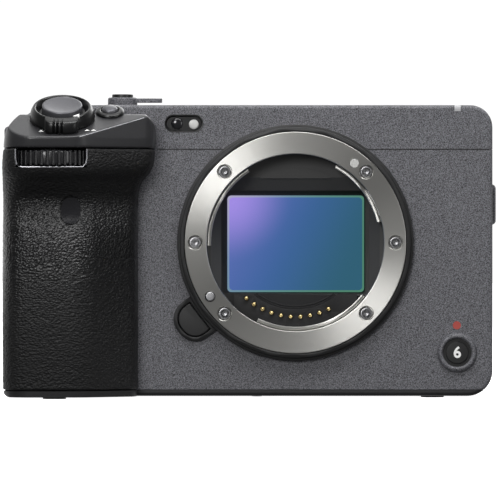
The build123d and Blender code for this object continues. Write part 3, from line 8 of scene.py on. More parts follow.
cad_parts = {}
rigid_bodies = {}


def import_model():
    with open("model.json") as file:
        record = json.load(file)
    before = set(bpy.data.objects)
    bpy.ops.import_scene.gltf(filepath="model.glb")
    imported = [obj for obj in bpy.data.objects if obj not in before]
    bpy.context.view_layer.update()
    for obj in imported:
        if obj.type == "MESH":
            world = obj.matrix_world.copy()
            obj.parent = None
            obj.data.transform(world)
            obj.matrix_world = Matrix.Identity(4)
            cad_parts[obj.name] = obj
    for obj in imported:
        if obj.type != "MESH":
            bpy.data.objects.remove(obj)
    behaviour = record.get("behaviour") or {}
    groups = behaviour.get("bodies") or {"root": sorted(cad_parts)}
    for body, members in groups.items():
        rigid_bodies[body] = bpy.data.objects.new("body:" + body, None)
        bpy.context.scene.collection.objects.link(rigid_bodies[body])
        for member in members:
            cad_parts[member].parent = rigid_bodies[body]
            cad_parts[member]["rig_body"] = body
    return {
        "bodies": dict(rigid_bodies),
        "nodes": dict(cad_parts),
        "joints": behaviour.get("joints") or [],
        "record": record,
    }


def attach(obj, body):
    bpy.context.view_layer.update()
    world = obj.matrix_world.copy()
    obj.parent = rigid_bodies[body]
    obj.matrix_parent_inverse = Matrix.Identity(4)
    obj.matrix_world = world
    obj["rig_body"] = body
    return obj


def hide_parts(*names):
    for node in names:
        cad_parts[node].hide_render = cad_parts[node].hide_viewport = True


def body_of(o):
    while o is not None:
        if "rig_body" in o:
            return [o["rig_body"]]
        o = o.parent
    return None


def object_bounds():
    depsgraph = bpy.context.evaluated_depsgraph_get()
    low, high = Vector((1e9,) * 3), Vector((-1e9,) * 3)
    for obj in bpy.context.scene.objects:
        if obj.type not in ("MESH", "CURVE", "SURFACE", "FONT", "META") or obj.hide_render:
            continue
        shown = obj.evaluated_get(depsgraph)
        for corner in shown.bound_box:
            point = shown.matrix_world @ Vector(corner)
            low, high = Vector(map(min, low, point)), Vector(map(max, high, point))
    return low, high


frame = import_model()
nodes = frame["nodes"]
cad_low, cad_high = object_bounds()
mm = 0.001


# Casing: three cast magnesium covers and a card door, sprayed with dark grey paint that has
# fine metal flakes in it. The paint is satin and a little rough, so it shows light and dark
# specks about a quarter of a millimetre wide instead of one even tone.
def linear(hex_text):
    """A linear colour from an sRGB hex value."""
    shares = [int(hex_text[i : i + 2], 16) / 255 for i in (0, 2, 4)]
    return [s / 12.92 if s <= 0.04045 else ((s + 0.055) / 1.055) ** 2.4 for s in shares] + [1.0]


def with_settings(thing, **settings):
    """Sets several properties of a thing, and returns it."""
    for name, value in settings.items():
        setattr(thing, name, value)
    return thing


def add_node(tree, kind, inputs=None, output=0, to=None, **settings):
    """Adds a node; inputs are values or other nodes' outputs, and to is the socket it feeds."""
    node = with_settings(tree.nodes.new(kind), **settings)
    for key, value in (inputs or {}).items():
        if isinstance(value, bpy.types.NodeSocket):
            tree.links.new(value, node.inputs[key])
        else:
            node.inputs[key].default_value = value
    if to is not None:
        tree.links.new(node.outputs[output], to)
    return node.outputs[output]


def shader_of(material):
    """The inputs of a material's shader."""
    return material.node_tree.nodes["Principled BSDF"].inputs


def new_finish(name, colour, roughness, metallic=0.0, coat=0.0, more=None):
    """A material with its even values set on the shader; patterns are added by its section."""
    material = with_settings(bpy.data.materials.new(name), use_nodes=True)
    values = {"Base Color": linear(colour), "Roughness": roughness, "Metallic": metallic}
    values.update({"Coat Weight": coat, "Coat Roughness": 0.05}, **(more or {}))
    for socket, value in values.items():
        shader_of(material)[socket].default_value = value
    return material


def grained(name, dark, light, roughness, grain_mm=0.3, relief_mm=0.015, ends=(0, 1), lean=(0, 0, 0)):
    """A finish in two tones with a soft relief, both from one noise whose grain has a real size."""
    material = new_finish(name, dark, roughness)
    tree, shader = material.node_tree, shader_of(material)
    place = add_node(tree, "ShaderNodeTexCoord", output="Object")
    leaned = add_node(tree, "ShaderNodeMapping", {"Vector": place, "Rotation": lean})
    grain_inputs = {"Vector": leaned, "Scale": 1 / (grain_mm * mm), "Detail": 2.0}
    grain = add_node(tree, "ShaderNodeTexNoise", grain_inputs)
    spread_inputs = {"Value": grain, "From Min": ends[0], "From Max": ends[1]}
    spread = add_node(tree, "ShaderNodeMapRange", spread_inputs)
    tones = {"Factor": spread, "A": linear(dark), "B": linear(light)}
    add_node(tree, "ShaderNodeMix", tones, "Result", shader["Base Color"], data_type="RGBA")
    relief = {"Height": grain, "Distance": relief_mm * mm, "Strength": 1.0}
    add_node(tree, "ShaderNodeBump", relief, to=shader["Normal"])
    return material


def dress(names, material):
    """Gives CAD nodes a finish."""
    for name in names:
        for slot in nodes[name].material_slots:
            slot.material = material


# Flakes stand out sharply, and the lean keeps every flat face off the noise's grid
flakes = {"ends": (0.32, 0.68), "lean": (0.5, 0.35, 0.2)}
casing_paint = grained("sprayed flake paint", "08080B", "7C7C82", 0.5, 0.25, 0.04, **flakes)
dress(["front_cover", "top_cover", "rear_cover", "card_door"], casing_paint)


# Base plate: the cast plate under the body, with the battery door and its latch let into it, all
# sprayed black. The plate's left lower corner is drawn round, and the latch's edges are broken.
def in_scene(name, data):
    """An object of this data, placed in the scene."""
    thing = bpy.data.objects.new(name, data)
    bpy.context.scene.collection.objects.link(thing)
    return thing


def smooth(mesh, sharp=None):
    """Shades a mesh smooth, except over edges sharper than an angle in degrees."""
    mesh.polygons.foreach_set("use_smooth", [True] * len(mesh.polygons))
    if sharp is not None:
        mesh.set_sharp_from_angle(angle=math.radians(sharp))


def finished(piece, material, body="root", node=None):
    """Gives a piece its finish, the body it rides on and the CAD node it stands for."""
    piece.data.materials.clear()
    piece.data.materials.append(material)
    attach(piece, body)
    if node is not None:
        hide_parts(node)
    return piece


def settle(piece):
    """Turns a piece's modifiers into its plain mesh."""
    graph = bpy.context.evaluated_depsgraph_get()
    mesh = bpy.data.meshes.new_from_object(piece.evaluated_get(graph))
    piece.modifiers.clear()
    piece.data = mesh


def cad_form(node):
    """A CAD node's shape with its loose triangles merged, ready to be worked."""
    form = bmesh.new()
    form.from_mesh(nodes[node].data)
    bmesh.ops.remove_doubles(form, verts=form.verts, dist=1e-6)
    return form


def worked(form, name):
    """Places a worked form in the scene."""
    mesh = bpy.data.meshes.new(name)
    form.to_mesh(mesh)
    form.free()
    return in_scene(name, mesh)


def cut(form, place, way, **settings):
    """Cuts a form along a plane: a place in millimetres and the way it faces."""
    settings.update({"plane_co": Vector(place) * mm, "plane_no": way})
    bmesh.ops.bisect_plane(form, geom=form.verts[:] + form.edges[:] + form.faces[:], **settings)


def cut_back(node, name, planes):
    """A CAD node's copy, cut back to each plane."""
    form = cad_form(node)
    for place, way in planes:
        cut(form, place, way, clear_outer=True)
        bmesh.ops.holes_fill(form, edges=[edge for edge in form.edges if edge.is_boundary], sides=0)
    return worked(form, name)


def rounded(names, edge_mm, material, steps=2):
    """Copies of CAD nodes with their edges broken by a small round, as a mould or a file leaves them."""
    for name in names:
        form = cad_form(name)
        flat = math.radians(0.5)
        bmesh.ops.dissolve_limit(form, angle_limit=flat, verts=form.verts, edges=form.edges)
        piece = worked(form, name + "_finished")
        smooth(piece.data)
        edge = {"width": edge_mm * mm, "segments": steps, "angle_limit": math.radians(32)}
        with_settings(piece.modifiers.new("edge", "BEVEL"), harden_normals=True, **edge)
        settle(piece)
        finished(piece, material, body_of(nodes[name])[0], name)


def on_circle(radius, degrees):
    """The two coordinates of a place on a circle."""
    turn = math.radians(degrees)
    return radius * math.cos(turn), radius * math.sin(turn)


base_paint = grained("black base paint", "131315", "212123", 0.5, 0.35, 0.02, **flakes)
corner_x, corner_z, corner_radius = -73.5, -37.7, 2.2
corner_cuts = []
for lean in (15, 30, 45, 60, 75):
    way_x, way_z = on_circle(1.0, 180 + lean)
    cut_place = (corner_x + way_x * corner_radius, 0, corner_z + way_z * corner_radius)
    corner_cuts.append((cut_place, (way_x, 0, way_z)))
base_plate = cut_back("base_plate", "base_plate_finished", corner_cuts)
finished(base_plate, base_paint, node="base_plate")
dress(["battery_door"], base_paint)
rounded(["battery_latch"], 0.15, base_paint)


# Black plastic trim: moulded ABS with a fine spark-eroded grain. The grain breaks up its
# reflections, so the lit edges are soft and grey rather than sharp.
black_abs = grained("black moulded ABS", "0D0D0E", "131314", 0.42)
satin_abs = grained("dark grey moulded ABS", "1C1C1E", "252527", 0.45)
dress(["vent_grille", "grip_core", "inner_frame", "fan_housing", "fan_rotor"], black_abs)
rounded(["audio_cover", "data_cover"], 0.4, satin_abs, 3)


# Strap lugs and battery: die-cast eyes at the body's ends, sprayed with the casing and tumbled so
# that they don't wear a strap, and the battery's black moulded case with its edges drawn round.
rounded(["strap_lugs"], 0.5, casing_paint, 3)
rounded(["battery"], 0.4, black_abs, 3)


# Grip skin: synthetic rubber with a leather grain, moulded in one piece and glued round the
# grip's core and the casing's end. Its pebbles are about a millimetre across and catch the
# light on the bulge; between them run soft creases. Fingers have rubbed the middle glossier.
pore_mm = 0.22  # drawn as coarse as the pores need to show
rubber = grained("leather-grained rubber", "0A0A0B", "151516", 0.36, pore_mm, 0.02)
rubber_tree, rubber_shader = rubber.node_tree, shader_of(rubber)
rubber_shader["Specular IOR Level"].default_value = 0.4
rubber_place = add_node(rubber_tree, "ShaderNodeTexCoord", output="Object")
rubber_height = add_node(rubber_tree, "ShaderNodeSeparateXYZ", {0: rubber_place}, "Z")
from_fingers = add_node(rubber_tree, "ShaderNodeMath", {0: rubber_height}, operation="ABSOLUTE")
rubbed = {"Value": from_fingers, "From Min": 4 * mm, "From Max": 24 * mm, "To Min": 0.27, "To Max": 0.62}
add_node(rubber_tree, "ShaderNodeMapRange", rubbed, to=rubber_shader["Roughness"])
pores = rubber_shader["Normal"].links[0].from_socket
lying = {0: rubber_place, 1: (1.0, 1.0, 1.5)}
lying_place = add_node(rubber_tree, "ShaderNodeVectorMath", lying, operation="MULTIPLY")
cell_inputs = {"Vector": lying_place, "Scale": 1 / (0.75 * mm), "Randomness": 1.0}
cells = add_node(rubber_tree, "ShaderNodeTexVoronoi", cell_inputs, "Distance")
cell_relief = {"Height": cells, "Distance": 0.22 * mm, "Strength": 1.0, "Normal": pores}
add_node(rubber_tree, "ShaderNodeBump", cell_relief, to=rubber_shader["Normal"], invert=True)

face_y = 3.5  # the front cover's face
root_y, heel_y = face_y - 0.05, face_y + 6.0  # where the skin meets that face, and where it aims
nose_ease, ridge_ease, crown_swell = 0.6, 0.2, 0.55
# Height, side, nose reach, ridge (x, reach), shoulder (x, reach) and root of the grip's outline
grip_stations = [
    (-39.9, -75.7, 18.1, -55.0, 18.3, -41.5, 7.0, -40.3),
    (-26.0, -75.7, 19.9, -54.5, 20.3, -41.5, 7.5, -40.3),
    (-12.0, -75.7, 20.5, -54.5, 21.3, -41.5, 7.5, -40.3),
    (-3.0, -75.7, 19.7, -54.5, 20.7, -41.5, 7.4, -40.3),
    (3.0, -75.7, 18.8, -54.5, 19.5, -41.5, 7.2, -40.3),
    (10.5, -75.7, 16.8, -55.0, 16.9, -41.5, 6.5, -40.3),
    (15.5, -75.7, 20.2, -55.0, 19.8, -40.5, 8.7, -39.4),
    (18.0, -75.7, 22.7, -55.0, 22.3, -38.6, 10.4, -37.5),
    (20.5, -75.7, 23.5, -55.0, 23.1, -37.4, 11.2, -36.4),
    (27.0, -75.1, 23.8, -55.5, 23.3, -36.8, 11.5, -35.8),
]


def eased(corners, radius, steps=5):
    """A line of corners with each inner corner drawn round; radius is one value or one a corner."""
    setbacks = radius if isinstance(radius, (list, tuple)) else [radius] * (len(corners) - 2)
    line = [Vector(corners[0])]
    for before, corner, after, setback in zip(corners, corners[1:], corners[2:], setbacks):
        before, corner, after = Vector(before), Vector(corner), Vector(after)
        start = corner + (before - corner).normalized() * min(setback, (before - corner).length / 2)
        end = corner + (after - corner).normalized() * min(setback, (after - corner).length / 2)
        for step in range(steps + 1):
            t = step / steps
            line.append(start * (1 - t) ** 2 + corner * 2 * t * (1 - t) + end * t**2)
    line.append(Vector(corners[-1]))
    return line


def station_at(height):
    """The grip's sizes at a height, on a smooth curve through the stations."""
    index = 0
    while index < len(grip_stations) - 2 and height > grip_stations[index + 1][0]:
        index += 1
    low, high = grip_stations[index], grip_stations[index + 1]
    span = high[0] - low[0]
    t = (height - low[0]) / span
    below = grip_stations[max(index - 1, 0)]
    above = grip_stations[min(index + 2, len(grip_stations) - 1)]
    sizes = []
    for k in range(1, len(low)):
        rise_low = (high[k] - below[k]) / (high[0] - below[0]) * span
        rise_high = (above[k] - low[k]) / (above[0] - low[0]) * span
        between = (2 * t**3 - 3 * t**2 + 1) * low[k] + (3 * t**2 - 2 * t**3) * high[k]
        sizes.append(between + (t**3 - 2 * t**2 + t) * rise_low + (t**3 - t**2) * rise_high)
    return sizes


def grip_line(height, back_y=27.0):
    """The skin's outline at a height, from the casing's end round the nose to the front cover."""
    side, nose, ridge_x, ridge, shoulder_x, shoulder, root = station_at(height)
    corner = Vector((shoulder_x, face_y - shoulder))
    heel = Vector((root, heel_y))
    end = corner + (heel - corner) * (root_y - corner.y) / (heel.y - corner.y)
    crown = Vector(((side + ridge_x) / 2 + 1.0, face_y - (nose + ridge) / 2 - crown_swell))
    nose_corner, ridge_corner = (side, face_y + nose_ease - nose), (ridge_x, face_y + ridge_ease - ridge)
    return eased([(side, back_y), nose_corner, crown, ridge_corner, corner, end], (8.5, 5.0, 4.0, 2.4), 10)


def spaced(low, high, count):
    """Values at even steps from one value to another."""
    return [low + (high - low) * step / (count - 1) for step in range(count)]


def evenly(line, count):
    """Points at even steps along a line."""
    lengths = [0.0]
    for a, b in zip(line, line[1:]):
        lengths.append(lengths[-1] + (b - a).length)
    points, index = [], 0
    for reach in spaced(0.0, lengths[-1], count):
        while index < len(line) - 2 and lengths[index + 1] < reach:
            index += 1
        share = (reach - lengths[index]) / max(lengths[index + 1] - lengths[index], 1e-9)
        points.append(line[index].lerp(line[index + 1], share))
    return points


def grip_front(x, height):
    """Where the skin's front face lies at an X and a height."""
    line = [p for p in grip_line(height) if p.y < face_y - 0.1]
    for a, b in zip(line, line[1:]):
        if a.x <= x <= b.x and b.x > a.x:
            return a.y + (b.y - a.y) * (x - a.x) / (b.x - a.x)
    return line[0].y


noise.seed_set(5)  # the creases bend the same way in each run
pebble_size, pebble_flatness, crease_share, crease_depth = 1.25, 1.45, 0.5, 0.1
bend_size, bend_reach, swell_size, swell_height = 2.2, 0.5, 1.4, 0.05


def leather(place):
    """Height of the leather's grain at a place: flat-lying pebbles, creases and a slow unevenness."""
    bend = noise.noise_vector(place / bend_size) * bend_reach
    flat_lying = Vector((place.x + bend.x, place.y + bend.y, (place.z + bend.z) * pebble_flatness))
    near = noise.voronoi(flat_lying / pebble_size)[0]
    crease = min(1.0, (near[1] - near[0]) / crease_share)
    return crease_depth * (crease**0.7 - 1.0) + swell_height * noise.noise(place / swell_size)


window_centre, window_half, window_power = Vector((-57.9, 8.2)), Vector((2.6, 3.5)), 2.5
window_reach, window_fade, window_groove = 1.06, 0.25, -0.28
border_fade = 0.7


def skin_relief(place, border):
    """The skin's relief: leather that fades out at its borders and round the oval window."""
    offset = Vector((place.x, place.z)) - window_centre
    across, up = abs(offset.x / window_half.x), abs(offset.y / window_half.y)
    oval = (across**window_power + up**window_power) ** (1 / window_power)
    fade = min(1.0, border / border_fade)
    if place.y < 0:
        fade *= min(1.0, max(0.0, (oval - window_reach) / window_fade))
    groove = window_groove if place.y < 0 and oval < window_reach + 0.02 else 0.0
    return leather(place) * fade + groove


def mesh_of(name, points, faces):
    """A mesh from points in millimetres."""
    mesh = bpy.data.meshes.new(name)
    mesh.from_pydata([tuple(c * mm for c in point) for point in points], [], faces)
    return mesh


def grid_faces(rows, columns, closed=False, looped=False, first_cap=False, last_cap=False):
    """Quads of a grid stored row by row; each row may be closed, and the last row join the first."""
    faces = []
    for row in range(rows if looped else rows - 1):
        here, above = row * columns, (row + 1) % rows * columns
        for column in range(columns if closed else columns - 1):
            beside = (column + 1) % columns
            faces.append((here + column, here + beside, above + beside, above + column))
    caps = (first_cap, 0), (last_cap, (rows - 1) * columns)
    return faces + [tuple(range(start, start + columns)) for wanted, start in caps if wanted]


skin_low, skin_high, skin_rows, skin_columns = -38.18, 24.2, 250, 300
edge_tuck, hem_tuck = -1.2, -0.15
skin_points = []
for row, height in enumerate(spaced(skin_low, skin_high, skin_rows)):
    line = evenly(grip_line(height), skin_columns)
    edge_row = min(height - skin_low, skin_high - height)
    for column, point in enumerate(line):
        along = line[min(column + 1, skin_columns - 1)] - line[max(column - 1, 0)]
        outward = Vector((along.y, -along.x)).normalized()
        from_edge = min(row, column, skin_rows - 1 - row, skin_columns - 1 - column)
        if from_edge < 2:
            lift = (edge_tuck, hem_tuck)[from_edge]
        else:
            border = min(edge_row, min(column, skin_columns - 1 - column) * 0.3)
            lift = skin_relief(Vector((point.x, point.y, height)), border)
        skin_points.append((point.x + outward.x * lift, point.y + outward.y * lift, height))

# The front dial shows through a slot at the skin's top edge, whose edges turn inwards
slot_left, slot_right, slot_low, slot_behind = -72.0, -53.7, 19.35, -6.0
skin_form = bmesh.new()
skin_form.from_mesh(mesh_of("grip_skin_flat", skin_points, grid_faces(skin_rows, skin_columns)))
cut(skin_form, (slot_left, 0, 0), (1, 0, 0), dist=1e-7)
cut(skin_form, (slot_right, 0, 0), (1, 0, 0), dist=1e-7)
cut(skin_form, (0, 0, slot_low), (0, 0, 1), dist=1e-7)


def in_slot(place, reach=0.0):
    """Whether a place lies in the dial's slot, or within a reach round it."""
    x, y, z = place / mm
    return slot_left - reach < x < slot_right + reach and z > slot_low - reach and y < slot_behind


slot_faces = [face for face in skin_form.faces if in_slot(face.calc_center_median())]
bmesh.ops.delete(skin_form, geom=slot_faces, context="FACES")
rim = []
for edge in skin_form.edges:
    if edge.is_boundary and all(in_slot(vert.co, 0.01) for vert in edge.verts):
        rim.append(edge)
for vert in bmesh.ops.extrude_edge_only(skin_form, edges=rim)["geom"]:
    if isinstance(vert, bmesh.types.BMVert):
        vert.co.y -= edge_tuck * mm
bmesh.ops.recalc_face_normals(skin_form, faces=skin_form.faces)
# The cuts leave their faces in another order in each run, so all are put in order by their places
vert_order = sorted(skin_form.verts, key=lambda vert: tuple(vert.co))
face_order = sorted(skin_form.faces, key=lambda face: tuple(face.calc_center_median()))
for parts, order in ((skin_form.verts, vert_order), (skin_form.faces, face_order)):
    parts.sort(key={part: rank for rank, part in enumerate(order)}.get)
grip_skin = worked(skin_form, "grip_skin")
foremost = min(grip_skin.data.polygons, key=lambda face: face.center.y)
if foremost.normal.y > 0:
    grip_skin.data.flip_normals()
smooth(grip_skin.data, 75)
finished(grip_skin, rubber, node="grip_rubber")


# Thumb rest: a raised pad of the same rubber on the back, where the thumb presses. It rises
# towards the body's end and is pulled in at the top like a wedge.
def face_out(mesh, sharp):
    """Merges a mesh's doubled points, turns its faces outwards and shades it smooth."""
    form = bmesh.new()
    form.from_mesh(mesh)
    bmesh.ops.remove_doubles(form, verts=form.verts, dist=2e-6)
    bmesh.ops.recalc_face_normals(form, faces=form.faces)
    form.to_mesh(mesh)
    form.free()
    smooth(mesh, sharp)


def new_piece(name, points, faces, material, slot, body="root", node=None, sharp=38):
    """A plain mesh piece from points in millimetres, merged and facing outwards."""
    piece = in_scene(name, mesh_of(name, points, faces))
    face_out(piece.data, sharp)
    return finished(piece, material, body, node)


def soft_square(degrees, power):
    """A place on a square of half width 1 with round corners; a higher power is squarer."""
    across, up = on_circle(1.0, degrees)
    swell = (abs(across) ** power + abs(up) ** power) ** (-1 / power)
    return across * swell, up * swell


rest_low, rest_high, rest_rings, rest_steps = Vector((-73.6, -5.0)), Vector((-61.0, 20.0)), 26, 120
rest_centre, rest_half = (rest_low + rest_high) / 2, (rest_high - rest_low) / 2
rest_foot, least_half = 49.05, 0.3
rest_side = [(0.0, 0.0), (1.4, 7.0), (3.6, 8.8), (5.6, 8.9)]
rest_points = []
for inset, rise in evenly(eased(rest_side, 2.2), rest_rings):
    for step in range(rest_steps):
        across, up = soft_square(360 * step / rest_steps, 3.4)
        x = rest_centre.x + across * max(rest_half.x - inset, least_half)
        z = rest_centre.y + up * max(rest_half.y - inset * 1.15, least_half)
        place = Vector((x, rest_foot + rise, z))
        rest_points.append(place + Vector((0, leather(place) * min(1, rise / 2), 0)))
rest_faces = grid_faces(rest_rings, rest_steps, closed=True, last_cap=True)
is_rubber = {"material": rubber, "slot": "grip_rubber", "node": "grip_rubber"}
new_piece("thumb_rest", rest_points, rest_faces, **is_rubber, sharp=75)


# Grip cap: the painted magnesium top of the grip, cast with soft edges and bead-blasted
# before a thin matt coat. It is smooth next to the leather, and pales where it faces up.
cap_coat = grained("matt-coated magnesium", "2A2A2C", "313133", 0.3, 0.25, 0.01)
deck_tilt = math.radians(26)
deck_normal = Vector((0, -math.sin(deck_tilt), math.cos(deck_tilt)))
deck_origin = Vector((-60.2, -10.1, 32.0))
shelf_z = 33.1
cap_cuts = [(deck_origin + deck_normal * 0.02, deck_normal), ((0, 0, shelf_z), (0, 0, 1))]
for reach, height, lean in ((-38.3, 32.7, 45), (-37.0, 31.1, 28), (-36.3, 29.2, 12)):
    way_x, way_z = on_circle(1.0, lean)
    cap_cuts.append(((reach, 0, height), (way_x, 0, way_z)))
grip_cap = cut_back("grip_cap", "grip_cap_shell", cap_cuts)
even = {"mode": "VOXEL", "voxel_size": 0.3 * mm, "use_smooth_shade": True}
with_settings(grip_cap.modifiers.new("even", "REMESH"), **even)
with_settings(grip_cap.modifiers.new("soft edges", "SMOOTH"), factor=0.5, iterations=4)
settle(grip_cap)
finished(grip_cap, cap_coat, node="grip_cap")


# Front dial's slot: a thin bright-edged frame round the dial, bent from chromed zinc wire and
# pressed into the rubber. It follows the skin's front at every place.
slot_steel = new_finish("dark chromed zinc", "A2A2A6", 0.28, metallic=1.0)


def bar(name, route, radius, material, slot, sides=10):
    """A round bar along points in millimetres."""
    points = []
    for index, place in enumerate(route):
        along = (route[min(index + 1, len(route) - 1)] - route[max(index - 1, 0)]).normalized()
        first = along.orthogonal().normalized()
        second = along.cross(first)
        for side in range(sides):
            across, up = on_circle(radius, 360 * side / sides)
            points.append(place + first * across + second * up)
    faces = grid_faces(len(route), sides, closed=True, first_cap=True, last_cap=True)
    new_piece(name, points, faces, material, slot)


slot_steps, slot_bend, slot_inlay = 24, 1.8, 0.12
slot_side = [(0.0, 24.0), (0.0, 21.5), (0.3, 20.0), (1.2, 19.45)]
slot_places = [(slot_left + inset, height) for inset, height in slot_side]
slot_places += [(x, slot_low) for x in spaced(slot_left + slot_bend, slot_right - slot_bend, slot_steps)]
slot_places += [(slot_right - inset, height) for inset, height in reversed(slot_side)]
slot_route = [Vector((x, grip_front(x, height) + slot_inlay, height)) for x, height in slot_places]
bar("dial_slot_frame", slot_route, 0.26, slot_steel, "dial_black")


# Cap crease: a thin bright steel bar along the deck's right front side, a painted highlight for the
# thin line of light that the rounded crease catches between the deck and the cap's front.
crease_left, crease_right, crease_steps, near_x, near_deck = -55.2, -38.8, 13, 0.4, 0.3
crease_route = []
for x in spaced(crease_left, crease_right, crease_steps):
    beside = []
    for vert in grip_cap.data.vertices:
        place = vert.co / mm
        if abs(place.x - x) < near_x and abs((place - deck_origin).dot(deck_normal)) < near_deck:
            beside.append(place)
    crease_route.append(min(beside, key=lambda place: place.y))
for smoothing in range(3):
    inner = [(a + b * 2 + c) / 4 for a, b, c in zip(crease_route, crease_route[1:], crease_route[2:])]
    crease_route = [crease_route[0]] + inner + [crease_route[-1]]
bar("cap_crease", crease_route, 0.13, slot_steel, "cap_plastic")


# Seam: a thin black ABS strip laid in the joint between the top cover and the front cover. It is
# painted shade that stands in for the joint's narrow shadow, and shows as a fine dark line.
seam_route = [Vector((x, face_y, 24.3)) for x in (-35.6, -10.0, 20.0, 50.4)]
bar("seam_strip", seam_route, 0.13, black_abs, "grip_rubber")


# Zoom lever: a glossy black moulded ring round the shutter button, with a ribbed tab in front
# for the finger and a white wedge that points at the marks on the deck.
def frame_at(place, normal, across=(1, 0, 0)):
    """A frame in millimetres: Z along the normal, and X across."""
    up = Vector(normal).normalized()
    side = Vector(across).normalized()
    turned_to = Matrix((side, up.cross(side), up)).transposed().to_4x4()
    turned_to.translation = Vector(place)
    return turned_to


def turned(profile, frame=Matrix(), steps=96, start=0.0, sweep=360.0):
    """Points and faces of a profile of (radius, height) turned about a frame's Z."""
    points, whole = [], sweep == 360.0
    for step in range(steps):
        turn = start + sweep * step / (steps if whole else steps - 1)
        points += [frame @ Vector((*on_circle(radius, turn), height)) for radius, height in profile]
    ends = {"looped": whole, "first_cap": not whole, "last_cap": not whole}
    return points, grid_faces(steps, len(profile), **ends)


def turned_piece(name, profile, frame, material, slot, steps=96, **rest):
    """A piece turned on a lathe, from its profile."""
    return new_piece(name, *turned(profile, frame, steps), material, slot, **rest)


forwards, backwards, upwards = (0, -1, 0), (0, 1, 0), (0, 0, 1)
deck = frame_at(deck_origin, deck_normal)
gloss_abs = new_finish("polished black ABS", "0C0C0D", 0.3)
pedestal_line = [(5.0, 0.2), (7.9, 0.2), (8.2, -0.1), (8.2, -3.4)]
turned_piece("lever_pedestal", pedestal_line, deck, gloss_abs, "cap_plastic")
lever_corners = [(5.95, 0.3), (5.95, 1.6), (6.9, 3.4), (7.45, 3.4), (8.1, 2.2), (8.5, 0.5), (8.3, 0.12)]
lever_line = eased(lever_corners + [(5.95, 0.12), (5.95, 0.3)], 0.35, 4)
of_lever = {"material": gloss_abs, "slot": "dial_black", "body": "zoom_lever"}
turned_piece("lever_ring", lever_line, deck, steps=128, node="zoom_lever", **of_lever)

tab_half, tab_columns, tab_bow, corner_bow, end_pull = 4.3, 141, 0.5, 0.8, 0.35
grooves, groove_half, groove_depth, groove_start, groove_run = (-2.0, -1.0, 0.1), 0.34, 0.5, 7.4, 0.8
tab_side = [(6.9, 3.36), (7.6, 3.36), (9.2, 3.1), (9.9, 1.6), (10.05, 0.5), (9.8, 0.12), (7.0, 0.12)]
tab_line = evenly(eased(tab_side, 0.7, 4), 30)
tab_points = []
for column, across in enumerate(spaced(-tab_half, tab_half, tab_columns)):
    out_of_groove = min(1.0, min(abs(across - place) for place in grooves) / groove_half)
    bow = (across / tab_half) ** 2 * tab_bow + (across / tab_half) ** 8 * corner_bow
    pull = end_pull if column in (0, tab_columns - 1) else 0.0
    for reach, height in tab_line:
        run_in = min(1.0, max(0.0, (reach - groove_start) / groove_run))
        depth = groove_depth * (1 - out_of_groove) * run_in
        tab_points.append(deck @ Vector((across, -(reach - depth - bow - pull), height - pull / 2)))
tab_faces = grid_faces(tab_columns, len(tab_line), first_cap=True, last_cap=True)
new_piece("lever_tab", tab_points, tab_faces, **of_lever)

print_white = new_finish("white screen-printed ink", "F0F0EE", 0.6)


def merged(forms):
    """Several forms, each given as points and faces, as one."""
    points, faces = [], []
    for form_points, form_faces in forms:
        faces += [tuple(i + len(points) for i in face) for face in form_faces]
        points += form_points
    return points, faces


def printed(name, outlines, frame, rise=0.03, body="root", slot="lamp_clear", ink=print_white):
    """Flat printed shapes, as closed outlines in millimetres on a frame's XY."""
    shapes = []
    for outline in outlines:
        points = [frame @ Vector((x, y, level)) for level in (0.0, rise) for x, y in outline]
        shapes.append((points, grid_faces(2, len(outline), closed=True, first_cap=True, last_cap=True)))
    new_piece(name, *merged(shapes), ink, slot, body)


wedge_turn, wedge_foot, wedge_rise = math.radians(-54), 2.3, 1.14
wedge = deck @ Matrix.Rotation(wedge_turn, 4, "Z") @ Matrix.Translation((0, 0, wedge_foot))
wedge_outline = [(7.75, 0.0), (6.35, -1.0), (6.35, 1.0)]
printed("lever_index", [wedge_outline], wedge, wedge_rise, "zoom_lever")
peak = [(-0.7, -0.45), (0.0, 0.5), (0.7, -0.45)]
tele_x, tele_y, wide_x, wide_y, wide_spread, wide_rise = -5.2, -7.6, 7.4, -7.1, 0.85, 0.9
zoom_peaks = []
for peak_x in (wide_x - wide_spread, wide_x + wide_spread):
    zoom_peaks.append([(x + peak_x, y * wide_rise + wide_y) for x, y in peak])
zoom_peaks.append([(x + tele_x, y + tele_y) for x, y in peak])
printed("zoom_marks", zoom_peaks, deck)


# Shutter button: turned aluminium, blasted and anodised grey, dished for the fingertip, in a
# black chamfered well.
anodised = new_finish("grey anodised aluminium", "5C5C60", 0.4, 0.6)
anodised_place = add_node(anodised.node_tree, "ShaderNodeTexCoord", output="Object")
blast_inputs = {"Vector": anodised_place, "Scale": 1 / (0.12 * mm), "Detail": 1.0}
blast = add_node(anodised.node_tree, "ShaderNodeTexNoise", blast_inputs)
blast_relief = {"Height": blast, "Distance": 0.008 * mm, "Strength": 1.0}
add_node(anodised.node_tree, "ShaderNodeBump", blast_relief, to=shader_of(anodised)["Normal"])
button_line = [(0.0, 3.55), (1.5, 3.58), (3.0, 3.67), (4.2, 3.82), (4.7, 3.9), (4.95, 3.9), (5.12, 3.8)]
button_line += [(5.2, 3.6), (5.2, 1.2), (0.0, 1.2)]
shutter = {"body": "shutter_button", "node": "shutter_button"}
turned_piece("shutter_cap", button_line, deck, anodised, "body_paint", 128, **shutter)
well = eased([(5.3, 1.7), (5.95, 1.75), (5.95, 0.0), (5.3, 0.0), (5.3, 1.7)], 0.1, 2)
turned_piece("shutter_well", well, deck, black_abs, "cap_plastic")


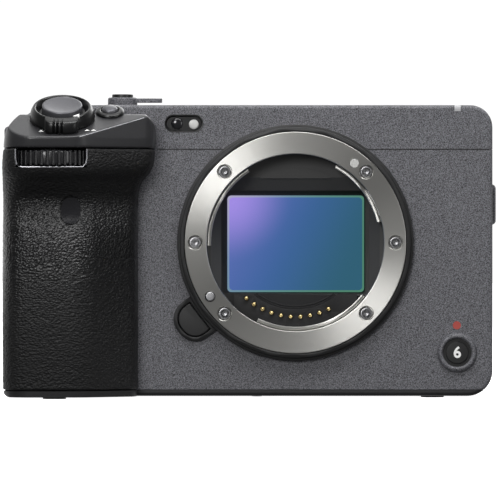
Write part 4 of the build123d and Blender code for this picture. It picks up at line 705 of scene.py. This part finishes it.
# Grip button: a small domed metal cap in a flanged black collar behind the shutter button. The
# cap is turned and anodised as the shutter button is, and the collar is polished ABS.
grip_button_frame = deck @ Matrix.Translation((12.2, 3.56, 0))
collar_corners = [(2.25, -1.6), (2.25, 0.75), (2.6, 0.95), (3.35, 0.8), (3.7, 0.4), (3.7, -1.6)]
collar_line = eased(collar_corners, 0.2, 3)
turned_piece("grip_button_collar", collar_line, grip_button_frame, gloss_abs, "cap_plastic", 72)
cap_line = [(0.0, 1.7), (0.9, 1.66), (1.5, 1.52), (1.85, 1.3), (2.05, 0.9), (2.1, -1.2), (0.0, -1.2)]
grip_button = {"body": "grip_button", "node": "grip_button"}
turned_piece("grip_button_cap", cap_line, grip_button_frame, anodised, "button_grey", 72, **grip_button)


# Dials: glass-filled nylon wheels with moulded ribs round the rim, each rib rounded so that it
# carries one bright line. The ribs are set round a turned wheel by a node tree.
def new_tree(name, kinds, result):
    """A geometry tree with named inputs and one result, its input sockets and its result socket."""
    tree = bpy.data.node_groups.new(name, "GeometryNodeTree")
    for label, kind in kinds.items():
        tree.interface.new_socket(label, in_out="INPUT", socket_type="NodeSocket" + kind)
    tree.interface.new_socket(result, in_out="OUTPUT", socket_type="NodeSocketGeometry")
    return tree, tree.nodes.new("NodeGroupInput").outputs, tree.nodes.new("NodeGroupOutput").inputs[0]


def give_inputs(piece, tree, values):
    """Adds a node tree to a piece and sets its named inputs."""
    modifier = piece.modifiers.new(tree.name, "NODES")
    modifier.node_group = tree
    for item in tree.interface.items_tree:
        if item.in_out == "INPUT" and item.name in values:
            modifier[item.identifier] = values[item.name]


def in_metres(frame):
    """A frame in millimetres, for a mesh in metres."""
    return Matrix.Scale(mm, 4) @ frame @ Matrix.Scale(1 / mm, 4)


dial_nylon = new_finish("black glass-filled nylon", "1B1B1D", 0.26, coat=0.3)
rib_kinds = {"Wheel": "Geometry", "Ribs": "Int", "Rim Radius": "Float", "Rib Radius": "Float"}
rib_kinds.update({"Rib Length": "Float", "Finish": "Material"})
rib_tree, rib_inputs, rib_result = new_tree("ribbed rim", rib_kinds, "Dial")
circle_inputs = {"Vertices": rib_inputs["Ribs"], "Radius": rib_inputs["Rim Radius"]}
rim_circle = add_node(rib_tree, "GeometryNodeMeshCircle", circle_inputs)
rod_inputs = {"Vertices": 8, "Radius": rib_inputs["Rib Radius"], "Depth": rib_inputs["Rib Length"]}
rod = add_node(rib_tree, "GeometryNodeMeshCylinder", rod_inputs, fill_type="TRIANGLE_FAN")
set_inputs = {"Points": rim_circle, "Instance": rod}
ribs = add_node(rib_tree, "GeometryNodeInstanceOnPoints", set_inputs)
joined = add_node(rib_tree, "GeometryNodeJoinGeometry", {0: ribs})
rib_tree.links.new(rib_inputs["Wheel"], joined.node.inputs[0])
real_ribs = add_node(rib_tree, "GeometryNodeRealizeInstances", {0: joined})
rib_finish = {"Geometry": real_ribs, "Material": rib_inputs["Finish"]}
add_node(rib_tree, "GeometryNodeSetMaterial", rib_finish, to=rib_result)


def ribbed_dial(name, node, profile, frame, ribs, rib_radius, rib_length):
    """A wheel with ribs round its rim, in place of a CAD dial."""
    piece = in_scene(name, mesh_of(name, *turned(profile, steps=128)))
    smooth(piece.data)
    sizes = {"Ribs": ribs, "Rim Radius": max(r for r, _ in profile) * mm, "Finish": dial_nylon}
    sizes.update({"Rib Radius": rib_radius * mm, "Rib Length": rib_length * mm})
    give_inputs(piece, rib_tree, sizes)
    settle(piece)
    piece.data.transform(in_metres(frame))
    face_out(piece.data, 50)
    finished(piece, dial_nylon, body_of(nodes[node])[0], node)


dial_bore, dial_chamfer, rim_half = 1.6, 0.75, 1.5
for dial, place, radius, half, rib_count, rib_radius in (
    ("front_dial", (-63.0, -10.2, 21.8), 10.15, 2.0, 42, 0.46),
    ("rear_dial", (-62.0, 42.0, 28.0), 8.15, 2.15, 46, 0.34),
):
    upper = [(dial_bore, half), (radius - dial_chamfer, half), (radius, rim_half)]
    dial_line = eased(upper + [(reach, -height) for reach, height in reversed(upper)], 0.25, 3)
    seat = frame_at(place, upwards)
    ribbed_dial(dial + "_wheel", dial, dial_line, seat, rib_count, rib_radius, 3.7)
wheel_corners = [(5.4, 0.0), (5.4, 1.9), (6.0, 2.5), (8.4, 2.5), (9.1, 1.9), (9.1, 0.0), (5.4, 0.0)]
wheel_frame = frame_at((-50.0, 48.15, -8.0), backwards, (-1, 0, 0))
wheel_line = eased(wheel_corners, 0.3, 3)
ribbed_dial("control_wheel_rim", "control_wheel", wheel_line, wheel_frame, 60, 0.3, 2.6)


# Mount ring: stainless steel, turned on a lathe, then left with fine concentric tool marks. The
# marks stretch each light into a bright sector, so the ring is pale at two opposite places and
# dark between them.
tooled = {"Anisotropic": 0.83, "Anisotropic Rotation": 0.25}
steel = new_finish("turned stainless steel", "C2C1BD", 0.31, metallic=1.0, more=tooled)
steel_tree, steel_shader = steel.node_tree, shader_of(steel)
round_ring = {"direction_type": "RADIAL", "axis": "Y"}
add_node(steel_tree, "ShaderNodeTangent", to=steel_shader["Tangent"], **round_ring)
steel_place = add_node(steel_tree, "ShaderNodeTexCoord", output="Object")
onto_face = {0: steel_place, 1: (1.0, 0.0, 1.0)}
on_face = add_node(steel_tree, "ShaderNodeVectorMath", onto_face, operation="MULTIPLY")
from_axis = add_node(steel_tree, "ShaderNodeVectorMath", {0: on_face}, "Value", operation="LENGTH")
marks_inputs = {"W": from_axis, "Scale": 1 / (0.12 * mm), "Detail": 2.0}
tool_marks = add_node(steel_tree, "ShaderNodeTexNoise", marks_inputs, noise_dimensions="1D")
marks_relief = {"Height": tool_marks, "Distance": 0.004 * mm, "Strength": 1.0}
add_node(steel_tree, "ShaderNodeBump", marks_relief, to=steel_shader["Normal"])

flange = frame_at((0, 0, 0), forwards)
ring_corners = [(23.05, -1.7), (23.05, 0.0), (23.4, 0.0), (28.4, 0.0), (28.75, 0.0), (28.75, -2.4)]
ring_corners += [(24.6, -2.4), (24.6, -7.2), (23.7, -7.2), (23.7, -1.7), (23.05, -1.7)]
ring_line = eased(ring_corners, 0.22, 4)
mount_ring = in_scene("mount_ring_turned", mesh_of("mount_ring", *turned(ring_line, flange, 256)))
screw_circle, screw_turns, pin_bore_circle, pin_bore_turn = 26.0, (0, 45, 135, 180, 225, 315), 26.2, 212.3
screw_bore = [(0.0, 0.2), (2.2, 0.2), (1.85, -0.15), (1.85, -1.35), (0.0, -1.35)]
pin_bore = [(0.0, 0.2), (1.6, 0.2), (1.35, -0.05), (1.35, -3.0), (0.0, -3.0)]
bores = [(*on_circle(screw_circle, turn), screw_bore) for turn in screw_turns]
bores.append((*on_circle(pin_bore_circle, pin_bore_turn), pin_bore))
bore_forms = [turned(profile, flange @ Matrix.Translation((x, y, 0.0)), 40) for x, y, profile in bores]
bore_cutter = in_scene("mount_ring_bores", mesh_of("mount_ring_bores", *merged(bore_forms)))
for form in (mount_ring, bore_cutter):
    face_out(form.data, 38)
drilling = {"operation": "DIFFERENCE", "solver": "EXACT", "object": bore_cutter}
with_settings(mount_ring.modifiers.new("bores", "BOOLEAN"), **drilling)
settle(mount_ring)
bpy.data.objects.remove(bore_cutter)
smooth(mount_ring.data, 30)
finished(mount_ring, steel, node="mount_ring")
tab_corners = [(23.75, -2.9), (23.55, -3.4), (22.8, -3.4), (22.75, -1.9), (21.9, -1.9), (21.9, -4.7)]
bayonet_side = eased(tab_corners + [(23.75, -4.7), (23.75, -2.9)], 0.06, 2)
for index, (first_turn, last_turn) in enumerate([(123, 182), (14, 62), (244, 322)]):
    sweep = last_turn - first_turn
    bayonet = turned(bayonet_side, flange, sweep + 1, first_turn, sweep)
    new_piece("bayonet_tab_" + str(index + 1), *bayonet, steel, "mount_steel", node="mount_ring")


def disc_outline(x, y, radius, sides=32):
    """A round outline in millimetres."""
    places = [on_circle(radius, 360 * side / sides) for side in range(sides)]
    return [(x + across, y + up) for across, up in places]


pale_fill = new_finish("grey-white filled index", "BDBDBA", 0.5)
index_circle, index_turn, index_radius = 25.7, 53.4, 1.15
index_outline = disc_outline(*on_circle(index_circle, index_turn), index_radius)
printed("mount_index", [index_outline], flange, 0.05, ink=pale_fill)


# Mount screws: six small cross-recessed pan heads sunk in counterbores, polished steel. A node
# tree sets one head on each of the ring's places.
bright_steel = new_finish("screw steel", "A6A6A8", 0.36, metallic=1.0)
head_radius, head_rows, head_top, dish_radius, dish_slope = 1.15, 33, 0.2, 0.6, 0.2
cross_half, cross_reach, cross_depth = 0.2, 0.92, 0.22
head_points = []
for up in spaced(-1, 1, head_rows):
    for across in spaced(-1, 1, head_rows):
        x = head_radius * across * math.sqrt(1 - up**2 / 2)
        y = head_radius * up * math.sqrt(1 - across**2 / 2)
        dish = max(0.0, dish_radius - math.hypot(x, y)) * dish_slope
        in_cross = min(abs(x), abs(y)) < cross_half and max(abs(x), abs(y)) < cross_reach
        head_points.append(Vector((x, y, head_top - dish - (cross_depth if in_cross else 0.0))))
rim_line = eased([(1.14, 0.2), (1.4, 0.18), (1.6, -0.05), (1.6, -0.75)], 0.12, 3)
head_forms = [(head_points, grid_faces(head_rows, head_rows)), turned(rim_line, steps=48)]
head_mesh = mesh_of("cross_head", *merged(head_forms))
smooth(head_mesh, 30)
cross_head = bpy.data.objects.new("cross_head_pattern", head_mesh)

screw_kinds = {"Places": "Geometry", "Head": "Object", "Size": "Float", "Finish": "Material"}
screw_tree, screw_inputs, screw_result = new_tree("screws at points", screw_kinds, "Screws")
head_inputs = {"Object": screw_inputs["Head"]}
head_shape = add_node(screw_tree, "GeometryNodeObjectInfo", head_inputs, "Geometry")
place_way = {"Vector": add_node(screw_tree, "GeometryNodeInputNormal")}
head_turn = add_node(screw_tree, "FunctionNodeAlignRotationToVector", place_way, axis="Z")
at_points = {"Points": screw_inputs["Places"], "Instance": head_shape}
at_points.update({"Rotation": head_turn, "Scale": screw_inputs["Size"]})
screws_set = add_node(screw_tree, "GeometryNodeInstanceOnPoints", at_points)
real_screws = add_node(screw_tree, "GeometryNodeRealizeInstances", {0: screws_set})
screw_finish = {"Geometry": real_screws, "Material": screw_inputs["Finish"]}
add_node(screw_tree, "GeometryNodeSetMaterial", screw_finish, to=screw_result)


def screws(name, places, facing, size, slot="screw_steel", finish=bright_steel, head=cross_head, node=None):
    """Screws on the casing: a small triangle at each place carries the way its head faces."""
    way = Vector(facing)
    first = way.orthogonal().normalized()
    second = way.cross(first)
    points = []
    for place in places:
        for turn in (0, 120, 240):
            across, up = on_circle(0.01, turn)
            points.append(Vector(place) + first * across + second * up)
    faces = [(start, start + 1, start + 2) for start in range(0, len(points), 3)]
    piece = in_scene(name, mesh_of(name, points, faces))
    give_inputs(piece, screw_tree, {"Head": head, "Size": size, "Finish": finish})
    settle(piece)
    finished(piece, finish, node=node)


def on_ring(radius, degrees, y):
    """A place round the mount's axis, at a depth."""
    x, z = on_circle(radius, degrees)
    return x, y, z


screw_places = [on_ring(screw_circle, turn, 0.55) for turn in screw_turns]
screws("mount_screw_heads", screw_places, forwards, 1.0, node="mount_screws")
rounded(["lock_pin"], 0.15, bright_steel)


# Mount collar and lens release: satin black anodised aluminium round the ring, in two steps,
# and the release button in its own rim, a satin moulded cap with a soft edge.
collar_black = new_finish("black anodised aluminium", "08080A", 0.42)
rounded(["mount_collar"], 0.3, collar_black, 3)
button_black = grained("black satin ABS button", "0B0B0C", "0F0F10", 0.5)
rounded(["lens_release_button"], 0.45, button_black, 4)


# Throat: the chamber behind the mount, moulded in flat black with a fine matt so that it
# throws no light at the sensor, the shutter blinds, and the contact block with ten sprung
# gold-plated pins.
chamber_black = grained("flat black chamber plastic", "454545", "4C4C4C", 0.7, 0.25, 0.02)
dress(["light_baffle", "shutter_frame", "shutter_leaf_upper", "shutter_leaf_lower"], chamber_black)
dress(["stabiliser_base", "stabiliser_slide", "sensor_carriage"], chamber_black)
contact_plastic = grained("charcoal moulded contact block", "0D0D0F", "111113", 0.75)
rounded(["contact_block"], 0.15, contact_plastic)
gold = new_finish("pale gold plate", "D9C48C", 0.25, metallic=1.0)

dome_line = [(0.0, 0.62), (0.25, 0.57), (0.45, 0.42), (0.58, 0.2), (0.6, 0.0), (0.6, -0.6), (0.0, -0.6)]
dome_mesh = mesh_of("pin_dome", *turned(dome_line, steps=24))
smooth(dome_mesh)
pin_dome = bpy.data.objects.new("pin_dome_pattern", dome_mesh)
pin_circle, first_pin, pin_pitch = 19.3, 228.7, 7.53
pin_places = [on_ring(pin_circle, first_pin + pin_pitch * index, 4.3) for index in range(10)]
pins = ("contact_gold", gold, pin_dome, "contact_pins")
screws("contact_pin_heads", pin_places, forwards, 1.0, *pins)
shelf_depth, step_start, step_sweep, shade_sheet_radius = -7.2, 232.5, 75.0, 22.9
for index, (inner, outer, height) in enumerate([(16.35, 16.75, -5.5), (16.85, 17.25, -5.2)]):
    lip_corners = [(inner, shelf_depth), (inner, height), (outer, height), (outer, shelf_depth)]
    lip = turned(eased(lip_corners, 0.08, 2), flange, 60, step_start, step_sweep)
    new_piece("contact_step_" + str(index + 1), *lip, contact_plastic, "contact_black")
# Painted shade: a thin dark sheet over the throat's lower floor, round the contact block, that darkens the
# floor which light from above would brighten
shade_sheet_outline = [on_circle(shade_sheet_radius, turn) for turn in range(215, 326, 3)]
shade_sheet_frame = flange @ Matrix.Translation((0, 0, shelf_depth))
printed("contact_foot", [shade_sheet_outline], shade_sheet_frame, 0.3, slot="contact_black", ink=contact_plastic)
arch_half, arch_foot, arch_rise = 9.2, 16.75, 2.4
arch_turns = [on_circle(1.0, turn) for turn in range(0, 181, 6)]
arch_outline = [(arch_half * across, arch_foot + arch_rise * up) for across, up in arch_turns]
arch_frame = flange @ Matrix.Translation((0, 0, shelf_depth - 0.05))
printed("chamber_arch", [arch_outline], arch_frame, 0.4, slot="chamber_black", ink=chamber_black)


# Sensor: a filter glass over the chip, coated in thin layers. The coating's coloured reflection is
# painted as a glow: blue, violet at its upper left corner and teal at the right, and the ground edges glow
# as pale lines.
def painted_glow_glass(name, left, middle, right, corner, roughness, painted_glow):
    """Glass with a painted reflection: a glow in three colours from left to right, and a fourth round its
    upper left corner.
    """
    # The glow is painted light: emission gives the coating's reflected colours, bright even where the
    # chamber shades the glass
    glass = new_finish(name, "0C0E14", roughness, coat=1.0, more={"Emission Strength": painted_glow})
    tree = glass.node_tree
    place = add_node(tree, "ShaderNodeTexCoord", output="Object")
    across_middle = {0: place, 1: (0.87, 0.0, -0.5)}
    across_right = {0: place, 1: (0.9, 0.0, -0.4)}
    from_corner = {0: place, 1: Vector((-18.5, 16.0, 12.5)) * mm}
    steps = (
        (middle, across_middle, "DOT_PRODUCT", -21.0, 2.0),
        (right, across_right, "DOT_PRODUCT", -7.0, 17.0),
        (corner, from_corner, "DISTANCE", 18.5, 1.0),
    )
    colour = linear(left)
    for tone, inputs, operation, first, last in steps:
        reach = add_node(tree, "ShaderNodeVectorMath", inputs, "Value", operation=operation)
        ends = {"Value": reach, "From Min": first * mm, "From Max": last * mm}
        share = add_node(tree, "ShaderNodeMapRange", ends, interpolation_type="SMOOTHSTEP")
        tones = {"Factor": share, "A": colour, "B": linear(tone)}
        colour = add_node(tree, "ShaderNodeMix", tones, "Result", data_type="RGBA")
    tree.links.new(colour, shader_of(glass)["Emission Color"])
    return glass


# Painted reflection and glow: the face and its ground edges give off the coating's colours as light
sensor_face = painted_glow_glass("coated filter glass with painted glow", "6478C8", "3E6CAE", "2A667F", "B49CFF", 0.12, 0.8)
sensor_edge = painted_glow_glass("ground glass edge with painted glow", "A8BCEC", "7CB4B4", "66A88C", "DAD6FA", 0.3, 0.6)
glass_centre, glass_half, glass_corner = Vector((0.2, -0.3)), Vector((17.9, 12.65)), 1.0
glass_front, ground_width, ground_depth, glass_thickness = 15.85, 0.5, 0.55, 1.2


def glass_outline(inset, depth):
    """The glass outline with its corners rounded, at an inset and a depth."""
    points = []
    for side, top, first_turn in ((1, 1, 0), (-1, 1, 90), (-1, -1, 180), (1, -1, 270)):
        x = glass_centre.x + side * (glass_half.x - inset - glass_corner)
        z = glass_centre.y + top * (glass_half.y - inset - glass_corner)
        for turn in range(first_turn, first_turn + 91, 15):
            across, up = on_circle(glass_corner, turn)
            points.append((x + across, depth, z + up))
    return points


glass = {"slot": "sensor_glass", "body": "sensor_carriage", "node": "sensor_glass"}
face_points = glass_outline(ground_width, glass_front)
face_ring = [tuple(range(len(face_points)))]
new_piece("sensor_glass_face", face_points, face_ring, sensor_face, **glass)
edge_points = face_points + glass_outline(0.0, glass_front + ground_depth)
edge_points += glass_outline(0.0, glass_front + glass_thickness)
edge_faces = grid_faces(3, len(face_points), closed=True)
new_piece("sensor_glass_edge", edge_points, edge_faces, sensor_edge, **glass)


# Infrared windows: polished dark acrylic that passes only infrared, one oval set flush in the
# grip and one lens in the pill-shaped recess, beside a milky white disc.
dark_acrylic = new_finish("polished dark acrylic", "1A1A1D", 0.1, coat=0.3)
oval_rings, oval_steps, oval_share, oval_sink, rim_sink = 9, 48, 0.97, 0.02, 0.5
oval_points = []
for ring in range(oval_rings):
    share = oval_share * min(ring / (oval_rings - 2), 1.0)
    for step in range(oval_steps):
        across, up = soft_square(360 * step / oval_steps, window_power)
        x = window_centre.x + window_half.x * across * share
        z = window_centre.y + window_half.y * up * share
        sink = rim_sink if ring == oval_rings - 1 else oval_sink
        oval_points.append((x, grip_front(x, z) + sink, z))
oval_faces = grid_faces(oval_rings, oval_steps, closed=True)
window = {"material": dark_acrylic, "slot": "window_dark", "node": "infrared_windows"}
new_piece("grip_window", oval_points, oval_faces, **window)

pill_x, pill_z, pill_half, pill_round, pill_steps = -28.95, 31.0, 4.95, 2.2, 16
pill_levels = [(-0.1, 3.46), (0.0, 3.36), (0.22, 3.38), (0.42, 3.75), (0.5, 4.0)]
pill_points = []
for inset, depth in pill_levels:
    for way, first_turn in ((1, -90), (-1, 90)):
        for step in range(pill_steps + 1):
            across, up = on_circle(pill_round - inset, first_turn + 180 * step / pill_steps)
            pill_points.append((pill_x + way * (pill_half - pill_round) + across, depth, pill_z + up))
pill_faces = grid_faces(len(pill_levels), 2 * (pill_steps + 1), closed=True, last_cap=True)
new_piece("pill_rim", pill_points, pill_faces, gloss_abs, "window_dark")
lens_line = [(0.0, 0.5), (0.7, 0.46), (1.2, 0.34), (1.5, 0.14), (1.55, 0.0)]
lens_frame = frame_at((-30.75, 3.98, 30.95), forwards)
turned_piece("receiver_lens", lens_line, lens_frame, steps=48, **window)
milky = new_finish("milky acrylic", "C4C4C2", 0.35)
milky_line = [(0.0, 0.32), (0.8, 0.3), (1.15, 0.2), (1.27, 0.0)]
milky_frame = frame_at((-26.4, 3.98, 30.75), forwards)
turned_piece("white_balance_disc", milky_line, milky_frame, milky, "lamp_clear", 48)


# Lamps: clear acrylic light pipes, pressed into the covers and frosted inside, so that they
# look pale grey when unlit.
lamp_acrylic = grained("frosted clear acrylic", "A6A6A8", "B0B0B2", 0.25)
dress(["lamp_lenses"], lamp_acrylic)


# Front record button: a black satin cap in a raised painted bezel, with the plain number 6 in
# white and a red dot above it.
def lettered(name, text, size, frame, body="root", boldness=0.028, ink_mm=0.02):
    """Plain numbers, printed in white on a face."""
    style = {"size": size * mm, "offset": size * boldness * mm, "extrude": ink_mm * mm, "resolution_u": 6}
    data = with_settings(bpy.data.curves.new(name, "FONT"), body=text, **style)
    flat = in_scene(name + "_flat", with_settings(data, align_x="CENTER", align_y="CENTER"))
    graph = bpy.context.evaluated_depsgraph_get()
    mesh = bpy.data.meshes.new_from_object(flat.evaluated_get(graph))
    bpy.data.objects.remove(flat)
    mesh.transform(in_metres(frame))
    finished(in_scene(name, mesh), print_white, body)


rounded(["front_record_button"], 0.3, button_black, 4)
record_frame = frame_at((42.1, face_y, -28.6), forwards)
bezel_corners = [(3.8, 0.0), (3.8, 0.75), (4.0, 1.0), (4.35, 1.05), (4.75, 0.9), (5.1, 0.45), (5.15, 0.0)]
turned_piece("record_bezel", eased(bezel_corners, 0.2, 3), record_frame, casing_paint, "body_paint")
gap_line = [(2.9, 0.05), (3.73, 0.05), (3.73, 0.2)]
turned_piece("record_well", gap_line, record_frame, black_abs, "button_black", 64)
cap_face = record_frame @ Matrix.Translation((0, -0.05, 0.38))
lettered("record_number", "6", 4.0, cap_face, "front_record_button")
print_red = new_finish("red screen-printed ink", "A8443C", 0.6)
red_frame = frame_at((42.0, face_y - 0.01, -21.5), forwards)
printed("record_dot", [disc_outline(0, 0, 1.05)], red_frame, ink=print_red)


# Power lever and top buttons: the lever is die-cast and painted like the casing, with a black
# plastic cap pressed on its hub, and the buttons are dark moulded ABS.
rounded(["power_lever"], 0.28, casing_paint, 3)
knob_line = eased([(0.0, 38.9), (2.76, 38.9), (2.76, 37.95)], 0.25, 3)
knob_frame = frame_at((-45.2, 19.0, 0.0), upwards)
turned_piece("power_knob_cap", knob_line, knob_frame, black_abs, "button_black", 64, body="power_lever")
rounded(["iso_button", "iris_button"], 0.3, satin_abs, 3)
top_face = frame_at((0, 0, 35.86), upwards)
for digit, x in (("1", -44.0), ("2", -34.0)):
    beside = top_face @ Matrix.Translation((x, 42.0, 0))
    lettered("top_number_" + digit, digit, 2.4, beside)
power_outline = [(-52.4, 12.2), (-51.8, 12.6), (-52.6, 13.4), (-53.2, 13.0)]
printed("power_mark", [power_outline], top_face)


# Rear controls: satin moulded caps, the joystick's grippy dome on its gimbal, and the marks
# that are screen-printed on the playback and delete buttons.
rear_names = ["menu_button", "playback_button", "delete_button", "centre_button", "joystick_cap"]
rounded(rear_names, 0.25, button_black, 3)
dress(["joystick_gimbal"], black_abs)
cap_y, cap_z = 49.85, -27.0
play_marks = [[(-0.7, -0.8), (0.9, 0.0), (-0.7, 0.8)]]
bin_marks = [
    [(-0.7, 0.45), (-0.55, -0.9), (0.55, -0.9), (0.7, 0.45)],
    [(-0.9, 0.65), (0.9, 0.65), (0.9, 0.85), (-0.9, 0.85)],
]
for name, marks, cap_x, button in (
    ("play_mark", play_marks, -59.0, "playback_button"),
    ("bin_mark", bin_marks, -41.0, "delete_button"),
):
    printed(name, marks, frame_at((cap_x, cap_y, cap_z), backwards, (-1, 0, 0)), body=button)


# Monitor: a panel under polished glass, in a satin black moulded shell that swings on a hinged
# arm of the same plastic.
screen_glass = new_finish("screen glass", "060608", 0.05, coat=1.0)
dress(["monitor_screen"], screen_glass)
rounded(["monitor_frame", "monitor_arm"], 0.5, satin_abs, 3)


# Metal fittings: the thread bushes, the shoe, the cooling fins and the shells of the sockets and
# the card reader in plated steel, the green board with its packages, and the casing's screws.
plated = new_finish("nickel-plated steel", "A9A8A5", 0.28, metallic=1.0)
rounded(["thread_bushes", "accessory_shoe"], 0.2, plated)
dress(["heat_sink", "jack_sockets", "card_reader"], plated)
board_green = grained("green solder mask", "143A24", "18432A", 0.35, 1.2, 0.01)
dress(["main_board"], board_green)
base_places = [(x, y, -39.9) for x, y in ((44.0, 14.0), (44.0, 38.0), (-10.0, 8.0), (-10.0, 44.0))]
screws("base_screw_heads", base_places, (0, 0, -1), 0.9)
screws("side_screw_heads", [(51.3, 27.6, z) for z in (20.0, -22.0)], (1, 0, 0), 0.75)
back_places = [(x, 49.0, z) for x, z in ((-70.5, 30.5), (46.0, 31.0), (-71.0, -33.5))]
screws("back_screw_heads", back_places, backwards, 0.75)


# Stage: a pale floor, a white far wall that the world stands for, and soft light panels. The
# room is bright behind the object and darker in front of it, so that its metal has contrast.
for name, place, aim_z, width, height, watts in (
    ("upper_left_panel", (-0.38, -1.25, 0.36), 0.0, 0.42, 0.42, 6.0),
    ("top_panel", (-0.1, 0.1, 1.0), 0.0, 1.0, 0.6, 2.5),
    ("top_front_panel", (0.05, -0.17, 0.34), 0.02, 0.5, 0.14, 1.6),
    ("right_fill_panel", (0.95, -0.9, 0.15), 0.0, 0.4, 0.6, 1.7),
    ("back_panel", (0.4, 1.2, 0.7), 0.0, 1.0, 0.8, 8.0),
):
    light = {"shape": "RECTANGLE", "size": width, "size_y": height, "energy": watts}
    panel = in_scene(name, with_settings(bpy.data.lights.new(name, "AREA"), **light))
    facing = (Vector((0, 0, aim_z)) - Vector(place)).to_track_quat("-Z", "Y")
    with_settings(panel, location=place, rotation_euler=facing.to_euler())

glow = {"Emission Color": (1, 1, 1, 1), "Emission Strength": 1.0}
floor_finish = new_finish("pale floor", "F4F4F4", 0.7, more=glow)
half, floor_z = 6.0, cad_low[2] - 0.0001
floor_mesh = bpy.data.meshes.new("floor")
floor_corners = [(-half, -half), (half, -half), (half, half), (-half, half)]
floor_mesh.from_pydata([(x, y, floor_z) for x, y in floor_corners], [], [(0, 1, 2, 3)])
floor_mesh.materials.append(floor_finish)
floor = with_settings(in_scene("floor", floor_mesh), visible_diffuse=False, visible_glossy=False)

world = with_settings(bpy.data.worlds.new("studio"), use_nodes=True)
bpy.context.scene.world = world
sky = world.node_tree
background = sky.nodes["Background"].inputs
background["Color"].default_value = (1, 1, 1, 1)
direction = add_node(sky, "ShaderNodeTexCoord", output="Generated")
depth_part = add_node(sky, "ShaderNodeSeparateXYZ", {0: direction}, "Y")
ends = {"Value": depth_part, "From Min": 0.1, "From Max": 0.8, "To Min": 0.15, "To Max": 1.05}
add_node(sky, "ShaderNodeMapRange", ends, to=background["Strength"])
bpy.context.scene.view_settings.view_transform = "Standard"

view_width, camera_distance, film_width = 0.12975, 1.73, 36.0
view = {"sensor_width": film_width, "lens": film_width * camera_distance / view_width}
camera = in_scene("camera", with_settings(bpy.data.cameras.new("camera"), **view))
camera_place = (-0.01178, -camera_distance, -0.00192)
with_settings(camera, location=camera_place, rotation_euler=(math.pi / 2, 0, 0))
bpy.context.scene.camera = camera
